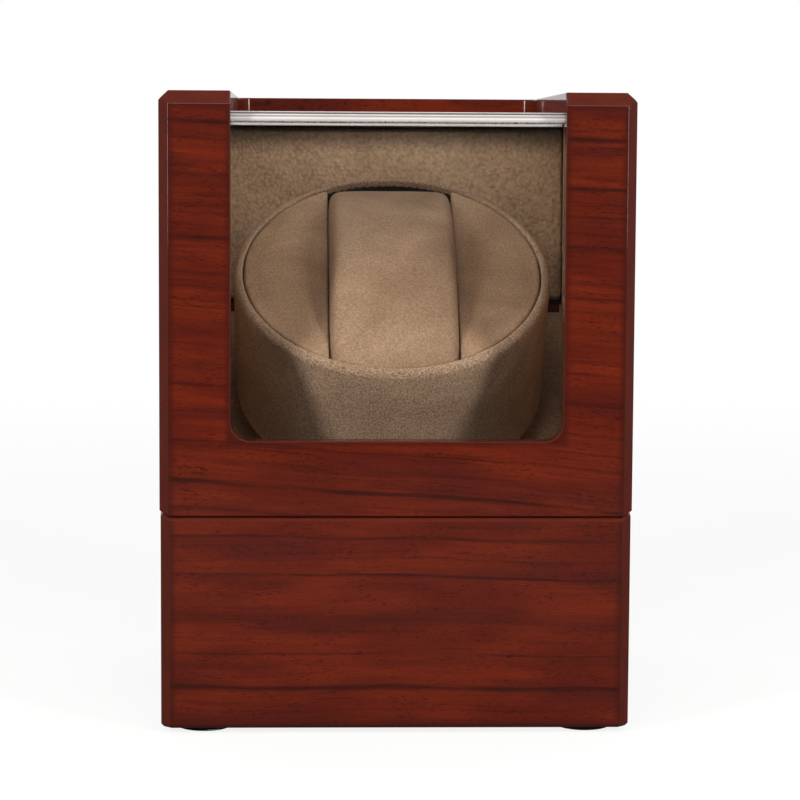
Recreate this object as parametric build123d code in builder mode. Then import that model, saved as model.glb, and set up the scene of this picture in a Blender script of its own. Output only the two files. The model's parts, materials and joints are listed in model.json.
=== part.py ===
from build123d import *
from math import acos, cos, pi, radians, sin, sqrt, tan
import os

# Watch winder box. Millimetres and degrees.
# +X right, +Z up, the window faces -Y; the origin is under the middle of the overall footprint.

# ---- casework ----
WIDTH = 120.0
DEPTH = 120.0
BODY_HEIGHT = 161.4
FOOT_HEIGHT = 1.5
WALL = 8.0
BOTTOM_T = 6.0
SEAM_FRONT_HEIGHT = 53.9
SEAM_SLOPE = 23.5
SEAM_GAP = 0.4
BASE_INSET = 0.25
CORNER_CHAMFER = 2.4
TOP_SIDE_CHAMFER = 2.4
TOP_FRONT_CHAMFER = 3.3
BOTTOM_CHAMFER = 0.8
SEAM_EASE = 0.6
EDGE_SOFTENING = 0.35
REAR_STANDOFF = 9.6

# ---- window ----
WINDOW_HALF = 42.0
WINDOW_SILL = 73.6
WINDOW_TOP_REAR = 99.8
WINDOW_CORNER_R = 4.8
WINDOW_REAR_CORNER_R = 4.0
ACRYLIC_T = 3.0
ACRYLIC_SETBACK = 6.0
ACRYLIC_DROP = 5.0
ACRYLIC_LAP = 5.0
ACRYLIC_BEND_R = 3.4
ACRYLIC_INNER_R = 0.6
RIM_EASE = 0.3

# ---- linings ----
FLOCK_T = 0.4
PAD_LINING_T = 4.0
PAD_LINING_BOTTOM = 103.5
DECK_DROP = 51.1
DECK_LINING_T = 1.0
DECK_T = 5.0
DECK_HOLE_R = 8.0
BATTEN = 6.0
BATTEN_LENGTH = 70.0
FOOT_R = 7.0

# ---- drum, measured down its own axis from the middle of its face ----
DRUM_TILT = 54.0
DRUM_FACE_DEPTH = 46.0
DRUM_FACE_HEIGHT = 115.0
DRUM_R = 42.35
DRUM_LENGTH = 39.7
DRUM_COVER_T = 0.95
CUP_INNER_R = 40.0
CUP_TOP = 2.0
CUP_FLOOR_T = 2.5
PAD_R = 39.6
SLOT_HALF = 17.2
CUSHION_HALF = 16.85
CUSHION_CROWN = 10.0
CUSHION_DEPTH = 27.0
CUSHION_END_R = 39.2
CUSHION_SKIN = 0.9
HUB_R = 9.0
HUB_FLANGE_R = 16.0
HUB_SCREW_R = 12.0
HUB_BOTTOM = 50.3
SHAFT_R = 2.5
RUNNING = 0.05
FACE_SINK = 0.4
COVER_ROLL_R = 2.1
PAD_EDGE_R = 1.8
CROWN_DROP = 2.4
CROWN_EDGE_R = 3.2
CUSHION_END_GAP = 0.6
CUSHION_CORNER_R = 9.0
HUB_FLANGE_T = 2.5
HUB_SCREW_BORE_R = 1.25
HUB_SCREW_HEAD_R = 2.3
HUB_SCREW_HEAD_T = 1.6
HUB_CROSS_L = 2.8
HUB_CROSS_W = 0.7
SHAFT_FLAT = 1.4

# ---- gear train ----
GEAR_MODULE = 0.6
GEAR_TEETH = 36
PINION_TEETH = 12
PRESSURE_ANGLE = 20.0
ADDENDUM = 0.75 * GEAR_MODULE
DEDENDUM = 1.05 * GEAR_MODULE
BACKLASH = 0.16
CENTRES = GEAR_MODULE * (GEAR_TEETH + PINION_TEETH) / 2
IDLER_2_BEARING = 205.0
IDLER_1_BEARING = 285.0
MOTOR_BEARING = 0.0
PIN_R = 1.0

# ---- gearbox and motor ----
COVER_T = 2.0
HOUSING_WALL = 2.0
GEAR_ROOM = 14.0
GEAR_CLEARANCE = 1.0
MOTOR_R = 10.2
MOTOR_LENGTH = 25.0
MOTOR_WALL = 0.8
ARMATURE_R = 7.4
BOX_CORNER_R = 3.0
BOX_SCREW_R = 1.3
BOX_SCREW_HEAD_R = 2.5
BOX_SCREW_HEAD_T = 1.8
MOTOR_BOSS_R = 3.0
MOTOR_SCREW_R = 1.0
MOTOR_SCREW_SPREAD = 7.0
TERMINAL_SPREAD = 6.0

# ---- rear controls ----
PLATE_W = 86.0
PLATE_H = 28.0
PLATE_T = 1.6
PLATE_HEIGHT = 30.0
CONTROL_SPACING = 26.0
JACK_BORE_R = 2.75
JACK_PIN_R = 1.05
JACK_PIN_LENGTH = 8.0
KNOB_R = 7.0
KNOB_SHAFT_R = 2.0
ROCKER_TILT = 6.0
ROCKER_SURROUND = 2.4
ROCKER_PIN_R = 0.8
JACK_LENGTH = 11.0
PLATE_SCREW_R = 1.0
PLATE_SCREW_HEAD_R = 2.1
PLATE_SCREW_HEAD_T = 1.2
PLATE_SCREW_INSET = 3.5
BOARD_SCREW_R = 1.2
STANDOFF_R = 2.6
STANDOFF_H = 4.0
SOCKET_OFFSET = 13.5

# ---- hinges ----
HINGE_LENGTH = 22.0
HINGE_SPACING = 62.0
KNUCKLE_R = 2.0
HINGE_PIN_R = 0.75
LEAF_T = 1.0
LEAF_REACH = 6.5
LEAF_SCREW_R = 0.8
LEAF_SCREW_LENGTH = 4.5
LEAF_HOLE_SPREAD = 6.0
LEAF_HOLE_RISE = 2.4
HINGE_STANDOFF = 2.3
MAGNET_R = 2.5

# ---- derived places ----
Y_FRONT = -(DEPTH + REAR_STANDOFF) / 2
Y_REAR = Y_FRONT + DEPTH
Z_BOTTOM = FOOT_HEIGHT
Z_TOP = FOOT_HEIGHT + BODY_HEIGHT
SLOPE = radians(SEAM_SLOPE)
TILT = radians(DRUM_TILT)
INNER_HALF = WIDTH / 2 - WALL
BASE_INNER_HALF = INNER_HALF - BASE_INSET
PLATE_FACE = Y_REAR - BASE_INSET + PLATE_T


def at_depth(depth):
    """Y of a point this far behind the box's front face."""
    return Y_FRONT + depth


def at_height(height):
    """Z of a point this far above the wood's bottom edge."""
    return FOOT_HEIGHT + height


drum_face = Vector(0, at_depth(DRUM_FACE_DEPTH), at_height(DRUM_FACE_HEIGHT))
drum_up = Vector(0, -cos(TILT), sin(TILT))
drum_back = Vector(0, sin(TILT), cos(TILT))
drum_plane = Plane(origin=drum_face, x_dir=(1, 0, 0), z_dir=drum_up)
drum_section = Plane(origin=drum_face, x_dir=(1, 0, 0), z_dir=-drum_back)
cushion_side = Plane(origin=drum_face, x_dir=drum_back, z_dir=(1, 0, 0))
drum_axis = Axis(drum_face, drum_up)
seam_up = Vector(0, -sin(SLOPE), cos(SLOPE))
seam_origin = Vector(0, Y_FRONT, at_height(SEAM_FRONT_HEIGHT))
seam = Plane(origin=seam_origin, x_dir=(1, 0, 0), z_dir=seam_up)

os.makedirs("parts", exist_ok=True)


def finish(piece, name):
    """Label a finished piece and write it as its own node."""
    piece.label = name
    export_step(piece, f"parts/{name}.step")


def side_plane(x=0.0):
    """Sketch plane across the box: its x is model Y, its y is model Z."""
    return Plane(origin=(x, 0, 0), x_dir=(0, 1, 0), z_dir=(1, 0, 0))


def rear_plane(y):
    """Sketch plane on the back, seen from behind: its x is model -X, its y is Z, its normal +Y."""
    return Plane(origin=(0, y, 0), x_dir=(-1, 0, 0), z_dir=(0, 1, 0))


def down_axis(distance):
    """Sketch plane square to the drum's axis, this far below its face."""
    return drum_plane.offset(-distance)


# ---- lid ----
NORMALS = {
    "front": Vector(0, -1, 0),
    "back": Vector(0, 1, 0),
    "left": Vector(-1, 0, 0),
    "right": Vector(1, 0, 0),
    "top": Vector(0, 0, 1),
}


def mitre(board, neighbour, half_width, front, rear):
    """Plane that bisects the corner of two boards and faces the first one."""
    reach = {"front": -front, "back": rear, "left": half_width, "right": half_width, "top": Z_TOP}
    own, other = NORMALS[board], NORMALS[neighbour]
    corner = own * reach[board] + other * reach[neighbour]
    return Plane(origin=corner, z_dir=own - other)


def seam_ease(bearing, side, inset):
    """Plane that takes the sharp edge off the seam on one face or corner facet of the box."""
    outward = Vector(cos(radians(bearing)), sin(radians(bearing)), 0)
    reach = WIDTH / 2 - inset
    if bearing % 90:
        reach = (WIDTH - 2 * inset - CORNER_CHAMFER) / sqrt(2)
    foot = Vector(0, (Y_FRONT + Y_REAR) / 2, 0) + outward * reach
    mouth = seam.offset(side * SEAM_GAP / 2)
    rise = (mouth.origin - foot).dot(seam_up) / seam_up.Z
    cosine = outward.dot(seam_up * -side)
    facet = (outward - seam_up * side).normalized()
    origin = foot + Vector(0, 0, rise) - facet * (SEAM_EASE * sqrt((1 - cosine) / 2))
    return Plane(origin=origin, z_dir=-facet)


def is_window_rim(edge):
    """True for an edge where the window's cut-outs meet the outer faces of the lid."""
    middle = edge.center()
    sill = at_height(WINDOW_SILL)
    rear = at_depth(WINDOW_TOP_REAR)
    inside = abs(middle.X) < WINDOW_HALF + 0.01 and middle.Z > sill - 0.01 and middle.Y < rear + 0.01
    outermost = min(middle.Y - Y_FRONT, Z_TOP - middle.Z, (middle.Y - Y_FRONT + Z_TOP - middle.Z - TOP_FRONT_CHAMFER) / sqrt(2))
    return inside and outermost < 0.15


LID_JOINTS = {
    "front": ("left", "right", "top"),
    "back": ("left", "right", "top"),
    "left": ("front", "back", "top"),
    "right": ("front", "back", "top"),
    "top": ("front", "back", "left", "right"),
}

with BuildPart() as lid_carcass:
    with BuildSketch(Plane.XY.offset(Z_BOTTOM)):
        with Locations((0, (Y_FRONT + Y_REAR) / 2)):
            Rectangle(WIDTH, DEPTH)
    extrude(amount=BODY_HEIGHT)
    top_edges = lid_carcass.faces().sort_by(Axis.Z)[-1].edges().sort_by(Axis.Y)
    chamfer(top_edges[0], TOP_FRONT_CHAMFER)
    top_edges = lid_carcass.faces().sort_by(Axis.Z)[-1].edges().sort_by(Axis.Y)
    chamfer(top_edges[1:], TOP_SIDE_CHAMFER)
    corner_edges = lid_carcass.edges().filter_by(Axis.Z)
    chamfer(corner_edges, CORNER_CHAMFER)
    soft_edges = lid_carcass.edges().filter_by(lambda edge: edge.center().Z > Z_BOTTOM + 1)
    fillet(soft_edges, EDGE_SOFTENING)
    split(bisect_by=seam.offset(SEAM_GAP / 2), keep=Keep.TOP)
    for bearing in range(0, 360, 45):
        split(bisect_by=seam_ease(bearing, 1, 0.0), keep=Keep.TOP)
    # Hollow, from below the seam to the underside of the top.
    with BuildSketch(Plane.XY.offset(Z_TOP - WALL)):
        with Locations((0, (Y_FRONT + Y_REAR) / 2)):
            Rectangle(2 * INNER_HALF, DEPTH - 2 * WALL)
    extrude(amount=-BODY_HEIGHT, mode=Mode.SUBTRACT)
    # Window in the front board, open at the top.
    with BuildSketch(Plane(origin=(0, Y_FRONT, 0), x_dir=(1, 0, 0), z_dir=(0, -1, 0))) as sill:
        with Locations((0, (at_height(WINDOW_SILL) + Z_TOP + WALL) / 2)):
            Rectangle(2 * WINDOW_HALF, Z_TOP + WALL - at_height(WINDOW_SILL))
        fillet(sill.vertices().group_by(Axis.Y)[0], WINDOW_CORNER_R)
    extrude(amount=-WALL, mode=Mode.SUBTRACT)
    # Window in the top board, open at the front.
    with BuildSketch(Plane.XY.offset(Z_TOP)) as skylight:
        with Locations((0, Y_FRONT + (WINDOW_TOP_REAR - WALL) / 2)):
            Rectangle(2 * WINDOW_HALF, WINDOW_TOP_REAR + WALL)
        fillet(skylight.vertices().group_by(Axis.Y)[-1], WINDOW_REAR_CORNER_R)
    extrude(amount=-WALL, mode=Mode.SUBTRACT)
    window_rim = lid_carcass.edges().filter_by(is_window_rim)
    chamfer(window_rim, RIM_EASE)
    # Rebate that holds the clear sheet.
    rebate_low = at_height(WINDOW_SILL) - ACRYLIC_LAP
    rebate_high = Z_TOP - ACRYLIC_DROP
    rebate_front = at_depth(ACRYLIC_SETBACK)
    rebate_rear = at_depth(WINDOW_TOP_REAR) + ACRYLIC_LAP
    with BuildSketch(side_plane(-WINDOW_HALF - ACRYLIC_LAP)):
        with BuildLine():
            Polyline(
                (rebate_front, rebate_low),
                (rebate_front + ACRYLIC_T, rebate_low),
                (rebate_front + ACRYLIC_T, rebate_high - ACRYLIC_T),
                (rebate_rear, rebate_high - ACRYLIC_T),
                (rebate_rear, rebate_high),
                (rebate_front, rebate_high),
                close=True,
            )
        make_face()
    extrude(amount=2 * (WINDOW_HALF + ACRYLIC_LAP), mode=Mode.SUBTRACT)

# Leaves of the hinges lie in mortises along the seam; their axis runs behind the back.
hinge_axis_y = Y_REAR + HINGE_STANDOFF
hinge_axis_z = at_height(SEAM_FRONT_HEIGHT) + (hinge_axis_y - Y_FRONT) * tan(SLOPE)
hinge_plane = Plane(origin=(0, hinge_axis_y, hinge_axis_z), x_dir=(1, 0, 0), z_dir=seam_up)
hinge_places = [(-HINGE_SPACING / 2, 0), (HINGE_SPACING / 2, 0)]
leaf_length = HINGE_STANDOFF / cos(SLOPE) + LEAF_REACH
leaf_hole_places = [(-LEAF_HOLE_SPREAD, -leaf_length + LEAF_HOLE_RISE), (LEAF_HOLE_SPREAD, -leaf_length + LEAF_HOLE_RISE)]
magnet_places = [(-INNER_HALF - WALL / 2, WALL * 1.6), (INNER_HALF + WALL / 2, WALL * 1.6)]
magnet_depth = 3.0

for board, neighbours in LID_JOINTS.items():
    with BuildPart() as lid_board:
        add(lid_carcass.part)
        for neighbour in neighbours:
            split(bisect_by=mitre(board, neighbour, WIDTH / 2, Y_FRONT, Y_REAR), keep=Keep.TOP)
        if board == "back":
            with BuildSketch(hinge_plane.offset(SEAM_GAP / 2)):
                with Locations(*hinge_places):
                    Rectangle(HINGE_LENGTH, 2 * leaf_length)
            extrude(amount=LEAF_T, mode=Mode.SUBTRACT)
            with BuildSketch(hinge_plane.offset(SEAM_GAP / 2)):
                with Locations(*hinge_places):
                    with Locations(*leaf_hole_places):
                        Circle(LEAF_SCREW_R)
            extrude(amount=LEAF_SCREW_LENGTH + 0.3, mode=Mode.SUBTRACT)
        if board in ("left", "right"):
            with BuildSketch(seam.offset(SEAM_GAP / 2)):
                with Locations(*magnet_places):
                    Circle(MAGNET_R)
            extrude(amount=magnet_depth, mode=Mode.SUBTRACT)
    finish(lid_board.part, f"lid_{board}")

with BuildPart() as window:
    with BuildSketch(side_plane(-WINDOW_HALF - ACRYLIC_LAP)):
        with BuildLine():
            Line((rebate_front, rebate_low), (rebate_front, rebate_high - ACRYLIC_BEND_R))
            RadiusArc(
                (rebate_front, rebate_high - ACRYLIC_BEND_R),
                (rebate_front + ACRYLIC_BEND_R, rebate_high),
                ACRYLIC_BEND_R,
            )
            Line((rebate_front + ACRYLIC_BEND_R, rebate_high), (rebate_rear, rebate_high))
            Line((rebate_rear, rebate_high), (rebate_rear, rebate_high - ACRYLIC_T))
            Line(
                (rebate_rear, rebate_high - ACRYLIC_T),
                (rebate_front + ACRYLIC_T + ACRYLIC_INNER_R, rebate_high - ACRYLIC_T),
            )
            RadiusArc(
                (rebate_front + ACRYLIC_T + ACRYLIC_INNER_R, rebate_high - ACRYLIC_T),
                (rebate_front + ACRYLIC_T, rebate_high - ACRYLIC_T - ACRYLIC_INNER_R),
                -ACRYLIC_INNER_R,
            )
            Line(
                (rebate_front + ACRYLIC_T, rebate_high - ACRYLIC_T - ACRYLIC_INNER_R),
                (rebate_front + ACRYLIC_T, rebate_low),
            )
            Line((rebate_front + ACRYLIC_T, rebate_low), (rebate_front, rebate_low))
        make_face()
    extrude(amount=2 * (WINDOW_HALF + ACRYLIC_LAP))
finish(window.part, "window")

with BuildPart() as lid_lining_back:
    with BuildSketch(side_plane(-INNER_HALF + FLOCK_T)) as pad_section:
        with Locations((at_depth(DEPTH - WALL) - PAD_LINING_T / 2, 0)):
            with Locations((0, (at_height(PAD_LINING_BOTTOM) + Z_TOP - WALL) / 2)):
                Rectangle(PAD_LINING_T, Z_TOP - WALL - at_height(PAD_LINING_BOTTOM))
        fillet(pad_section.vertices().group_by(Axis.Y)[0], PAD_LINING_T * 0.45)
    extrude(amount=2 * (INNER_HALF - FLOCK_T))
finish(lid_lining_back.part, "lid_lining_back")

with BuildPart() as lid_lining_sides:
    lining_rear = at_depth(DEPTH - WALL) - PAD_LINING_T
    lining_front = at_depth(WALL)
    for side in (-1, 1):
        with BuildSketch(side_plane(side * INNER_HALF)):
            with BuildLine():
                Polyline(
                    (lining_front, at_height(SEAM_FRONT_HEIGHT + WALL * tan(SLOPE) + 1)),
                    (lining_rear, at_height(SEAM_FRONT_HEIGHT + 1) + (lining_rear - Y_FRONT) * tan(SLOPE)),
                    (lining_rear, Z_TOP - WALL),
                    (lining_front, Z_TOP - WALL),
                    close=True,
                )
            make_face()
        extrude(amount=-side * FLOCK_T)
finish(lid_lining_sides.part, "lid_lining_sides")

with BuildPart() as lid_strikes:
    with BuildSketch(seam.offset(SEAM_GAP / 2 - 0.1)):
        with Locations(*magnet_places):
            Circle(MAGNET_R)
    extrude(amount=magnet_depth)
finish(lid_strikes.part, "lid_strikes")

# ---- base ----
with BuildPart() as base_carcass:
    with BuildSketch(Plane.XY.offset(Z_BOTTOM)):
        with Locations((0, (Y_FRONT + Y_REAR) / 2)):
            Rectangle(WIDTH - 2 * BASE_INSET, DEPTH - 2 * BASE_INSET)
    extrude(amount=BODY_HEIGHT)
    chamfer(base_carcass.edges().filter_by(Axis.Z), CORNER_CHAMFER)
    chamfer(base_carcass.faces().sort_by(Axis.Z)[0].edges(), BOTTOM_CHAMFER)
    soft_edges = base_carcass.edges().filter_by(lambda edge: edge.center().Z < Z_TOP - 1)
    fillet(soft_edges, EDGE_SOFTENING)
    split(bisect_by=seam.offset(-SEAM_GAP / 2), keep=Keep.BOTTOM)
    for bearing in range(0, 360, 45):
        split(bisect_by=seam_ease(bearing, -1, BASE_INSET), keep=Keep.TOP)
    with BuildSketch(Plane.XY.offset(Z_BOTTOM)):
        with Locations((0, (Y_FRONT + Y_REAR) / 2)):
            Rectangle(2 * BASE_INNER_HALF, DEPTH - 2 * (WALL + BASE_INSET))
    extrude(amount=BODY_HEIGHT, mode=Mode.SUBTRACT)

BASE_JOINTS = {
    "front": ("left", "right"),
    "back": ("left", "right"),
    "left": ("front", "back"),
    "right": ("front", "back"),
}
plate_screw_places = [
    (x * (PLATE_W / 2 - PLATE_SCREW_INSET), y * (PLATE_H / 2 - PLATE_SCREW_INSET)) for x in (-1, 1) for y in (-1, 1)
]

for board, neighbours in BASE_JOINTS.items():
    base_half = WIDTH / 2 - BASE_INSET
    with BuildPart() as base_board:
        add(base_carcass.part)
        for neighbour in neighbours:
            joint = mitre(board, neighbour, base_half, Y_FRONT + BASE_INSET, Y_REAR - BASE_INSET)
            split(bisect_by=joint, keep=Keep.TOP)
        if board == "back":
            with BuildSketch(hinge_plane.offset(-SEAM_GAP / 2)):
                with Locations(*hinge_places):
                    Rectangle(HINGE_LENGTH, 2 * leaf_length)
            extrude(amount=-LEAF_T, mode=Mode.SUBTRACT)
            with BuildSketch(hinge_plane.offset(-SEAM_GAP / 2)):
                with Locations(*hinge_places):
                    with Locations(*leaf_hole_places):
                        Circle(LEAF_SCREW_R)
            extrude(amount=-LEAF_SCREW_LENGTH - 0.3, mode=Mode.SUBTRACT)
            # Opening behind the control plate, and its screw holes.
            with BuildSketch(rear_plane(Y_REAR - BASE_INSET)):
                with Locations((0, at_height(PLATE_HEIGHT))):
                    RectangleRounded(PLATE_W - 16, PLATE_H - 8, 2.0)
                    with Locations(*plate_screw_places):
                        Circle(PLATE_SCREW_R)
            extrude(amount=-WALL, mode=Mode.SUBTRACT)
        if board in ("left", "right"):
            with BuildSketch(seam.offset(-SEAM_GAP / 2)):
                with Locations(*magnet_places):
                    Circle(MAGNET_R)
            extrude(amount=-magnet_depth, mode=Mode.SUBTRACT)
    finish(base_board.part, f"base_{board}")

with BuildPart() as base_magnets:
    with BuildSketch(seam.offset(-SEAM_GAP / 2 + 0.1)):
        with Locations(*magnet_places):
            Circle(MAGNET_R)
    extrude(amount=-magnet_depth)
finish(base_magnets.part, "base_magnets")

with BuildPart() as base_bottom:
    with BuildSketch(Plane.XY.offset(Z_BOTTOM)):
        with Locations((0, (Y_FRONT + Y_REAR) / 2)):
            Rectangle(2 * BASE_INNER_HALF, DEPTH - 2 * (WALL + BASE_INSET))
    extrude(amount=BOTTOM_T)
finish(base_bottom.part, "base_bottom")

with BuildPart() as feet:
    with BuildSketch(Plane.XY):
        with Locations((0, (Y_FRONT + Y_REAR) / 2)):
            with GridLocations(WIDTH - 22, DEPTH - 22, 2, 2):
                Circle(FOOT_R)
    extrude(amount=FOOT_HEIGHT)
    chamfer(feet.faces().sort_by(Axis.Z)[:4].edges(), 0.3)
finish(feet.part, "feet")

# ---- sloping deck under the drum ----
deck_front = at_depth(WALL + BASE_INSET)
deck_rear = at_depth(DEPTH - WALL - BASE_INSET)
front_cut = Plane(origin=(0, deck_front, 0), z_dir=(0, 1, 0))
rear_cut = Plane(origin=(0, deck_rear, 0), z_dir=(0, -1, 0))


def deck_height(depth, below_face):
    """Height above the wood's bottom of the plane this far down the drum's axis."""
    return DRUM_FACE_HEIGHT - below_face / sin(TILT) + (depth - DRUM_FACE_DEPTH) / tan(TILT)


def deck_layer(top, thickness, hole_r):
    """Sheet square to the drum's axis, trimmed to the base's front and back walls."""
    with BuildPart() as sheet:
        with BuildSketch(down_axis(top + thickness)):
            Rectangle(2 * BASE_INNER_HALF, 2 * DEPTH)
            Circle(hole_r, mode=Mode.SUBTRACT)
        extrude(amount=thickness)
        split(bisect_by=front_cut, keep=Keep.TOP)
        split(bisect_by=rear_cut, keep=Keep.TOP)
    return sheet.part


deck_bottom = DECK_DROP + DECK_LINING_T + DECK_T
finish(deck_layer(DECK_DROP, DECK_LINING_T, DECK_HOLE_R), "deck_lining")
finish(deck_layer(DECK_DROP + DECK_LINING_T, DECK_T, DECK_HOLE_R), "deck_board")

with BuildPart() as deck_battens:
    with BuildSketch(down_axis(deck_bottom + BATTEN)):
        with Locations((-BASE_INNER_HALF + BATTEN / 2, -28.0), (BASE_INNER_HALF - BATTEN / 2, -28.0)):
            Rectangle(BATTEN, BATTEN_LENGTH)
    extrude(amount=BATTEN)
finish(deck_battens.part, "deck_battens")

with BuildPart() as base_linings:
    lining_drop = 0.6
    front_depth = WALL + BASE_INSET
    rear_depth = DEPTH - WALL - BASE_INSET
    for side in (-1, 1):
        with BuildSketch(side_plane(side * BASE_INNER_HALF)):
            with BuildLine():
                Polyline(
                    (deck_front, at_height(deck_height(front_depth, DECK_DROP))),
                    (deck_rear, at_height(deck_height(rear_depth, DECK_DROP))),
                    (deck_rear, at_height(SEAM_FRONT_HEIGHT - lining_drop + rear_depth * tan(SLOPE))),
                    (deck_front, at_height(SEAM_FRONT_HEIGHT - lining_drop + front_depth * tan(SLOPE))),
                    close=True,
                )
            make_face()
        extrude(amount=-side * FLOCK_T)
    with BuildSketch(side_plane(-BASE_INNER_HALF + FLOCK_T)):
        with BuildLine():
            Polyline(
                (deck_front, at_height(deck_height(front_depth, DECK_DROP))),
                (deck_front + FLOCK_T, at_height(deck_height(front_depth + FLOCK_T, DECK_DROP))),
                (deck_front + FLOCK_T, at_height(SEAM_FRONT_HEIGHT - lining_drop + front_depth * tan(SLOPE))),
                (deck_front, at_height(SEAM_FRONT_HEIGHT - lining_drop + front_depth * tan(SLOPE))),
                close=True,
            )
        make_face()
    extrude(amount=2 * (BASE_INNER_HALF - FLOCK_T))
finish(base_linings.part, "base_linings")

# ---- drum ----
cup_outer_r = DRUM_R - DRUM_COVER_T
hub_screw_places = [(HUB_SCREW_R / sqrt(2) * x, HUB_SCREW_R / sqrt(2) * y) for x in (-1, 1) for y in (-1, 1)]

with BuildPart() as drum_cup:
    with BuildSketch(down_axis(DRUM_LENGTH)):
        Circle(cup_outer_r)
    extrude(amount=DRUM_LENGTH - CUP_TOP)
    with BuildSketch(down_axis(DRUM_LENGTH - CUP_FLOOR_T)):
        Circle(CUP_INNER_R)
    extrude(amount=DRUM_LENGTH, mode=Mode.SUBTRACT)
    with BuildSketch(down_axis(DRUM_LENGTH)):
        with Locations(*hub_screw_places):
            Circle(HUB_SCREW_BORE_R)
    extrude(amount=CUP_FLOOR_T, mode=Mode.SUBTRACT)
finish(drum_cup.part, "drum_cup")

with BuildPart() as drum_cover:
    with BuildSketch(drum_section) as cover_section:
        with BuildLine():
            Polyline(
                (CUP_INNER_R, -CUP_TOP),
                (CUP_INNER_R, -FACE_SINK),
                (DRUM_R, -FACE_SINK),
                (DRUM_R, -DRUM_LENGTH),
                (cup_outer_r, -DRUM_LENGTH),
                (cup_outer_r, -CUP_TOP),
                close=True,
            )
        make_face()
        rim = cover_section.vertices().sort_by_distance((DRUM_R, -FACE_SINK, 0))[0]
        fillet(rim, COVER_ROLL_R)
    revolve(axis=drum_axis)
finish(drum_cover.part, "drum_cover")

with BuildPart() as drum_pad_right:
    with BuildSketch(down_axis(DRUM_LENGTH - CUP_FLOOR_T)):
        Circle(PAD_R)
        with Locations((SLOT_HALF - DRUM_R, 0)):
            Rectangle(2 * DRUM_R, 3 * DRUM_R, mode=Mode.SUBTRACT)
    extrude(amount=DRUM_LENGTH - CUP_FLOOR_T - FACE_SINK)
    top_face = drum_pad_right.faces().filter_by(lambda face: face.normal_at().dot(drum_up) > 0.99)
    fillet(top_face.edges(), PAD_EDGE_R)
finish(drum_pad_right.part, "drum_pad_right")

with BuildPart() as drum_pad_left:
    mirror(drum_pad_right.part, about=Plane.YZ)
finish(drum_pad_left.part, "drum_pad_left")

with BuildPart() as drum_hub:
    with BuildSketch(down_axis(DRUM_LENGTH + HUB_FLANGE_T)):
        Circle(HUB_FLANGE_R)
    extrude(amount=HUB_FLANGE_T)
    with BuildSketch(down_axis(HUB_BOTTOM)):
        Circle(HUB_R)
    extrude(amount=HUB_BOTTOM - DRUM_LENGTH)
    with BuildSketch(down_axis(HUB_BOTTOM)):
        Circle(SHAFT_R)
        with Locations((0, SHAFT_R + SHAFT_FLAT)):
            Rectangle(2 * SHAFT_R, 4.0, mode=Mode.SUBTRACT)
    extrude(amount=HUB_BOTTOM - DRUM_LENGTH - 0.5, mode=Mode.SUBTRACT)
    with BuildSketch(down_axis(DRUM_LENGTH + HUB_FLANGE_T)):
        with Locations(*hub_screw_places):
            Circle(HUB_SCREW_BORE_R)
    extrude(amount=HUB_FLANGE_T, mode=Mode.SUBTRACT)
finish(drum_hub.part, "drum_hub")

with BuildPart() as hub_screws:
    with BuildSketch(down_axis(DRUM_LENGTH + HUB_FLANGE_T)):
        with Locations(*hub_screw_places):
            Circle(HUB_SCREW_BORE_R)
    extrude(amount=HUB_FLANGE_T + CUP_FLOOR_T)
    with BuildSketch(down_axis(DRUM_LENGTH - CUP_FLOOR_T)):
        with Locations(*hub_screw_places):
            Circle(HUB_SCREW_HEAD_R)
    extrude(amount=HUB_SCREW_HEAD_T)
    with BuildSketch(down_axis(DRUM_LENGTH - CUP_FLOOR_T - HUB_SCREW_HEAD_T)):
        for place in hub_screw_places:
            with Locations(place):
                Rectangle(HUB_CROSS_L, HUB_CROSS_W)
                Rectangle(HUB_CROSS_W, HUB_CROSS_L)
    extrude(amount=-0.9, mode=Mode.SUBTRACT)
finish(hub_screws.part, "hub_screws")


def cushion_form(inset):
    """Crowned cushion with ends that follow the drum's seam, shrunk by the inset all round."""
    half = CUSHION_HALF - inset
    end = CUSHION_END_R - CUSHION_END_GAP - inset
    with BuildPart() as form:
        with BuildSketch(cushion_side) as profile:
            with BuildLine():
                crown = ThreePointArc((-end, -CROWN_DROP - inset), (0, CUSHION_CROWN - inset), (end, -CROWN_DROP - inset))
                Polyline(
                    crown @ 1,
                    (end, -CUSHION_DEPTH + inset),
                    (-end, -CUSHION_DEPTH + inset),
                    crown @ 0,
                )
            make_face()
            fillet(profile.vertices().group_by(Axis.Y)[0], CUSHION_CORNER_R - inset)
        extrude(amount=half, both=True)
        with BuildSketch(down_axis(DRUM_LENGTH)):
            Circle(CUSHION_END_R - inset)
        extrude(amount=2 * DRUM_LENGTH, mode=Mode.INTERSECT)
        long_edges = form.edges().filter_by(
            lambda edge: abs(abs(edge.center().X) - half) < 0.01 and edge.length > 30
        )
        crown_edges = long_edges.sort_by(Axis(drum_face, drum_up))[-2:]
        fillet(crown_edges, CROWN_EDGE_R - inset)
    return form.part


cushion_core = cushion_form(CUSHION_SKIN)
finish(cushion_core, "cushion_core")

with BuildPart() as cushion_cover:
    add(cushion_form(0.0))
    add(cushion_core, mode=Mode.SUBTRACT)
finish(cushion_cover.part, "cushion_cover")

# ---- gear train: all axes run along the drum's axis ----
gear_top = deck_bottom + COVER_T + GEAR_CLEARANCE
LAYER_PITCH = 4.4
FACE_WIDTH = 3.8


def layer_top(index):
    """Distance down the drum's axis of the top of a gear layer."""
    return gear_top + index * LAYER_PITCH


def step_from(place, bearing):
    """Centre of the next gear, one centre distance away."""
    turn = radians(bearing)
    return (place[0] + CENTRES * cos(turn), place[1] + CENTRES * sin(turn))


def meshing_phase(phase, bearing, teeth, follower_teeth):
    """Angle of a follower's tooth when its neighbour's tooth stands at phase."""
    return bearing + 180 + 180 / follower_teeth + (bearing - phase) * teeth / follower_teeth


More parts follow.
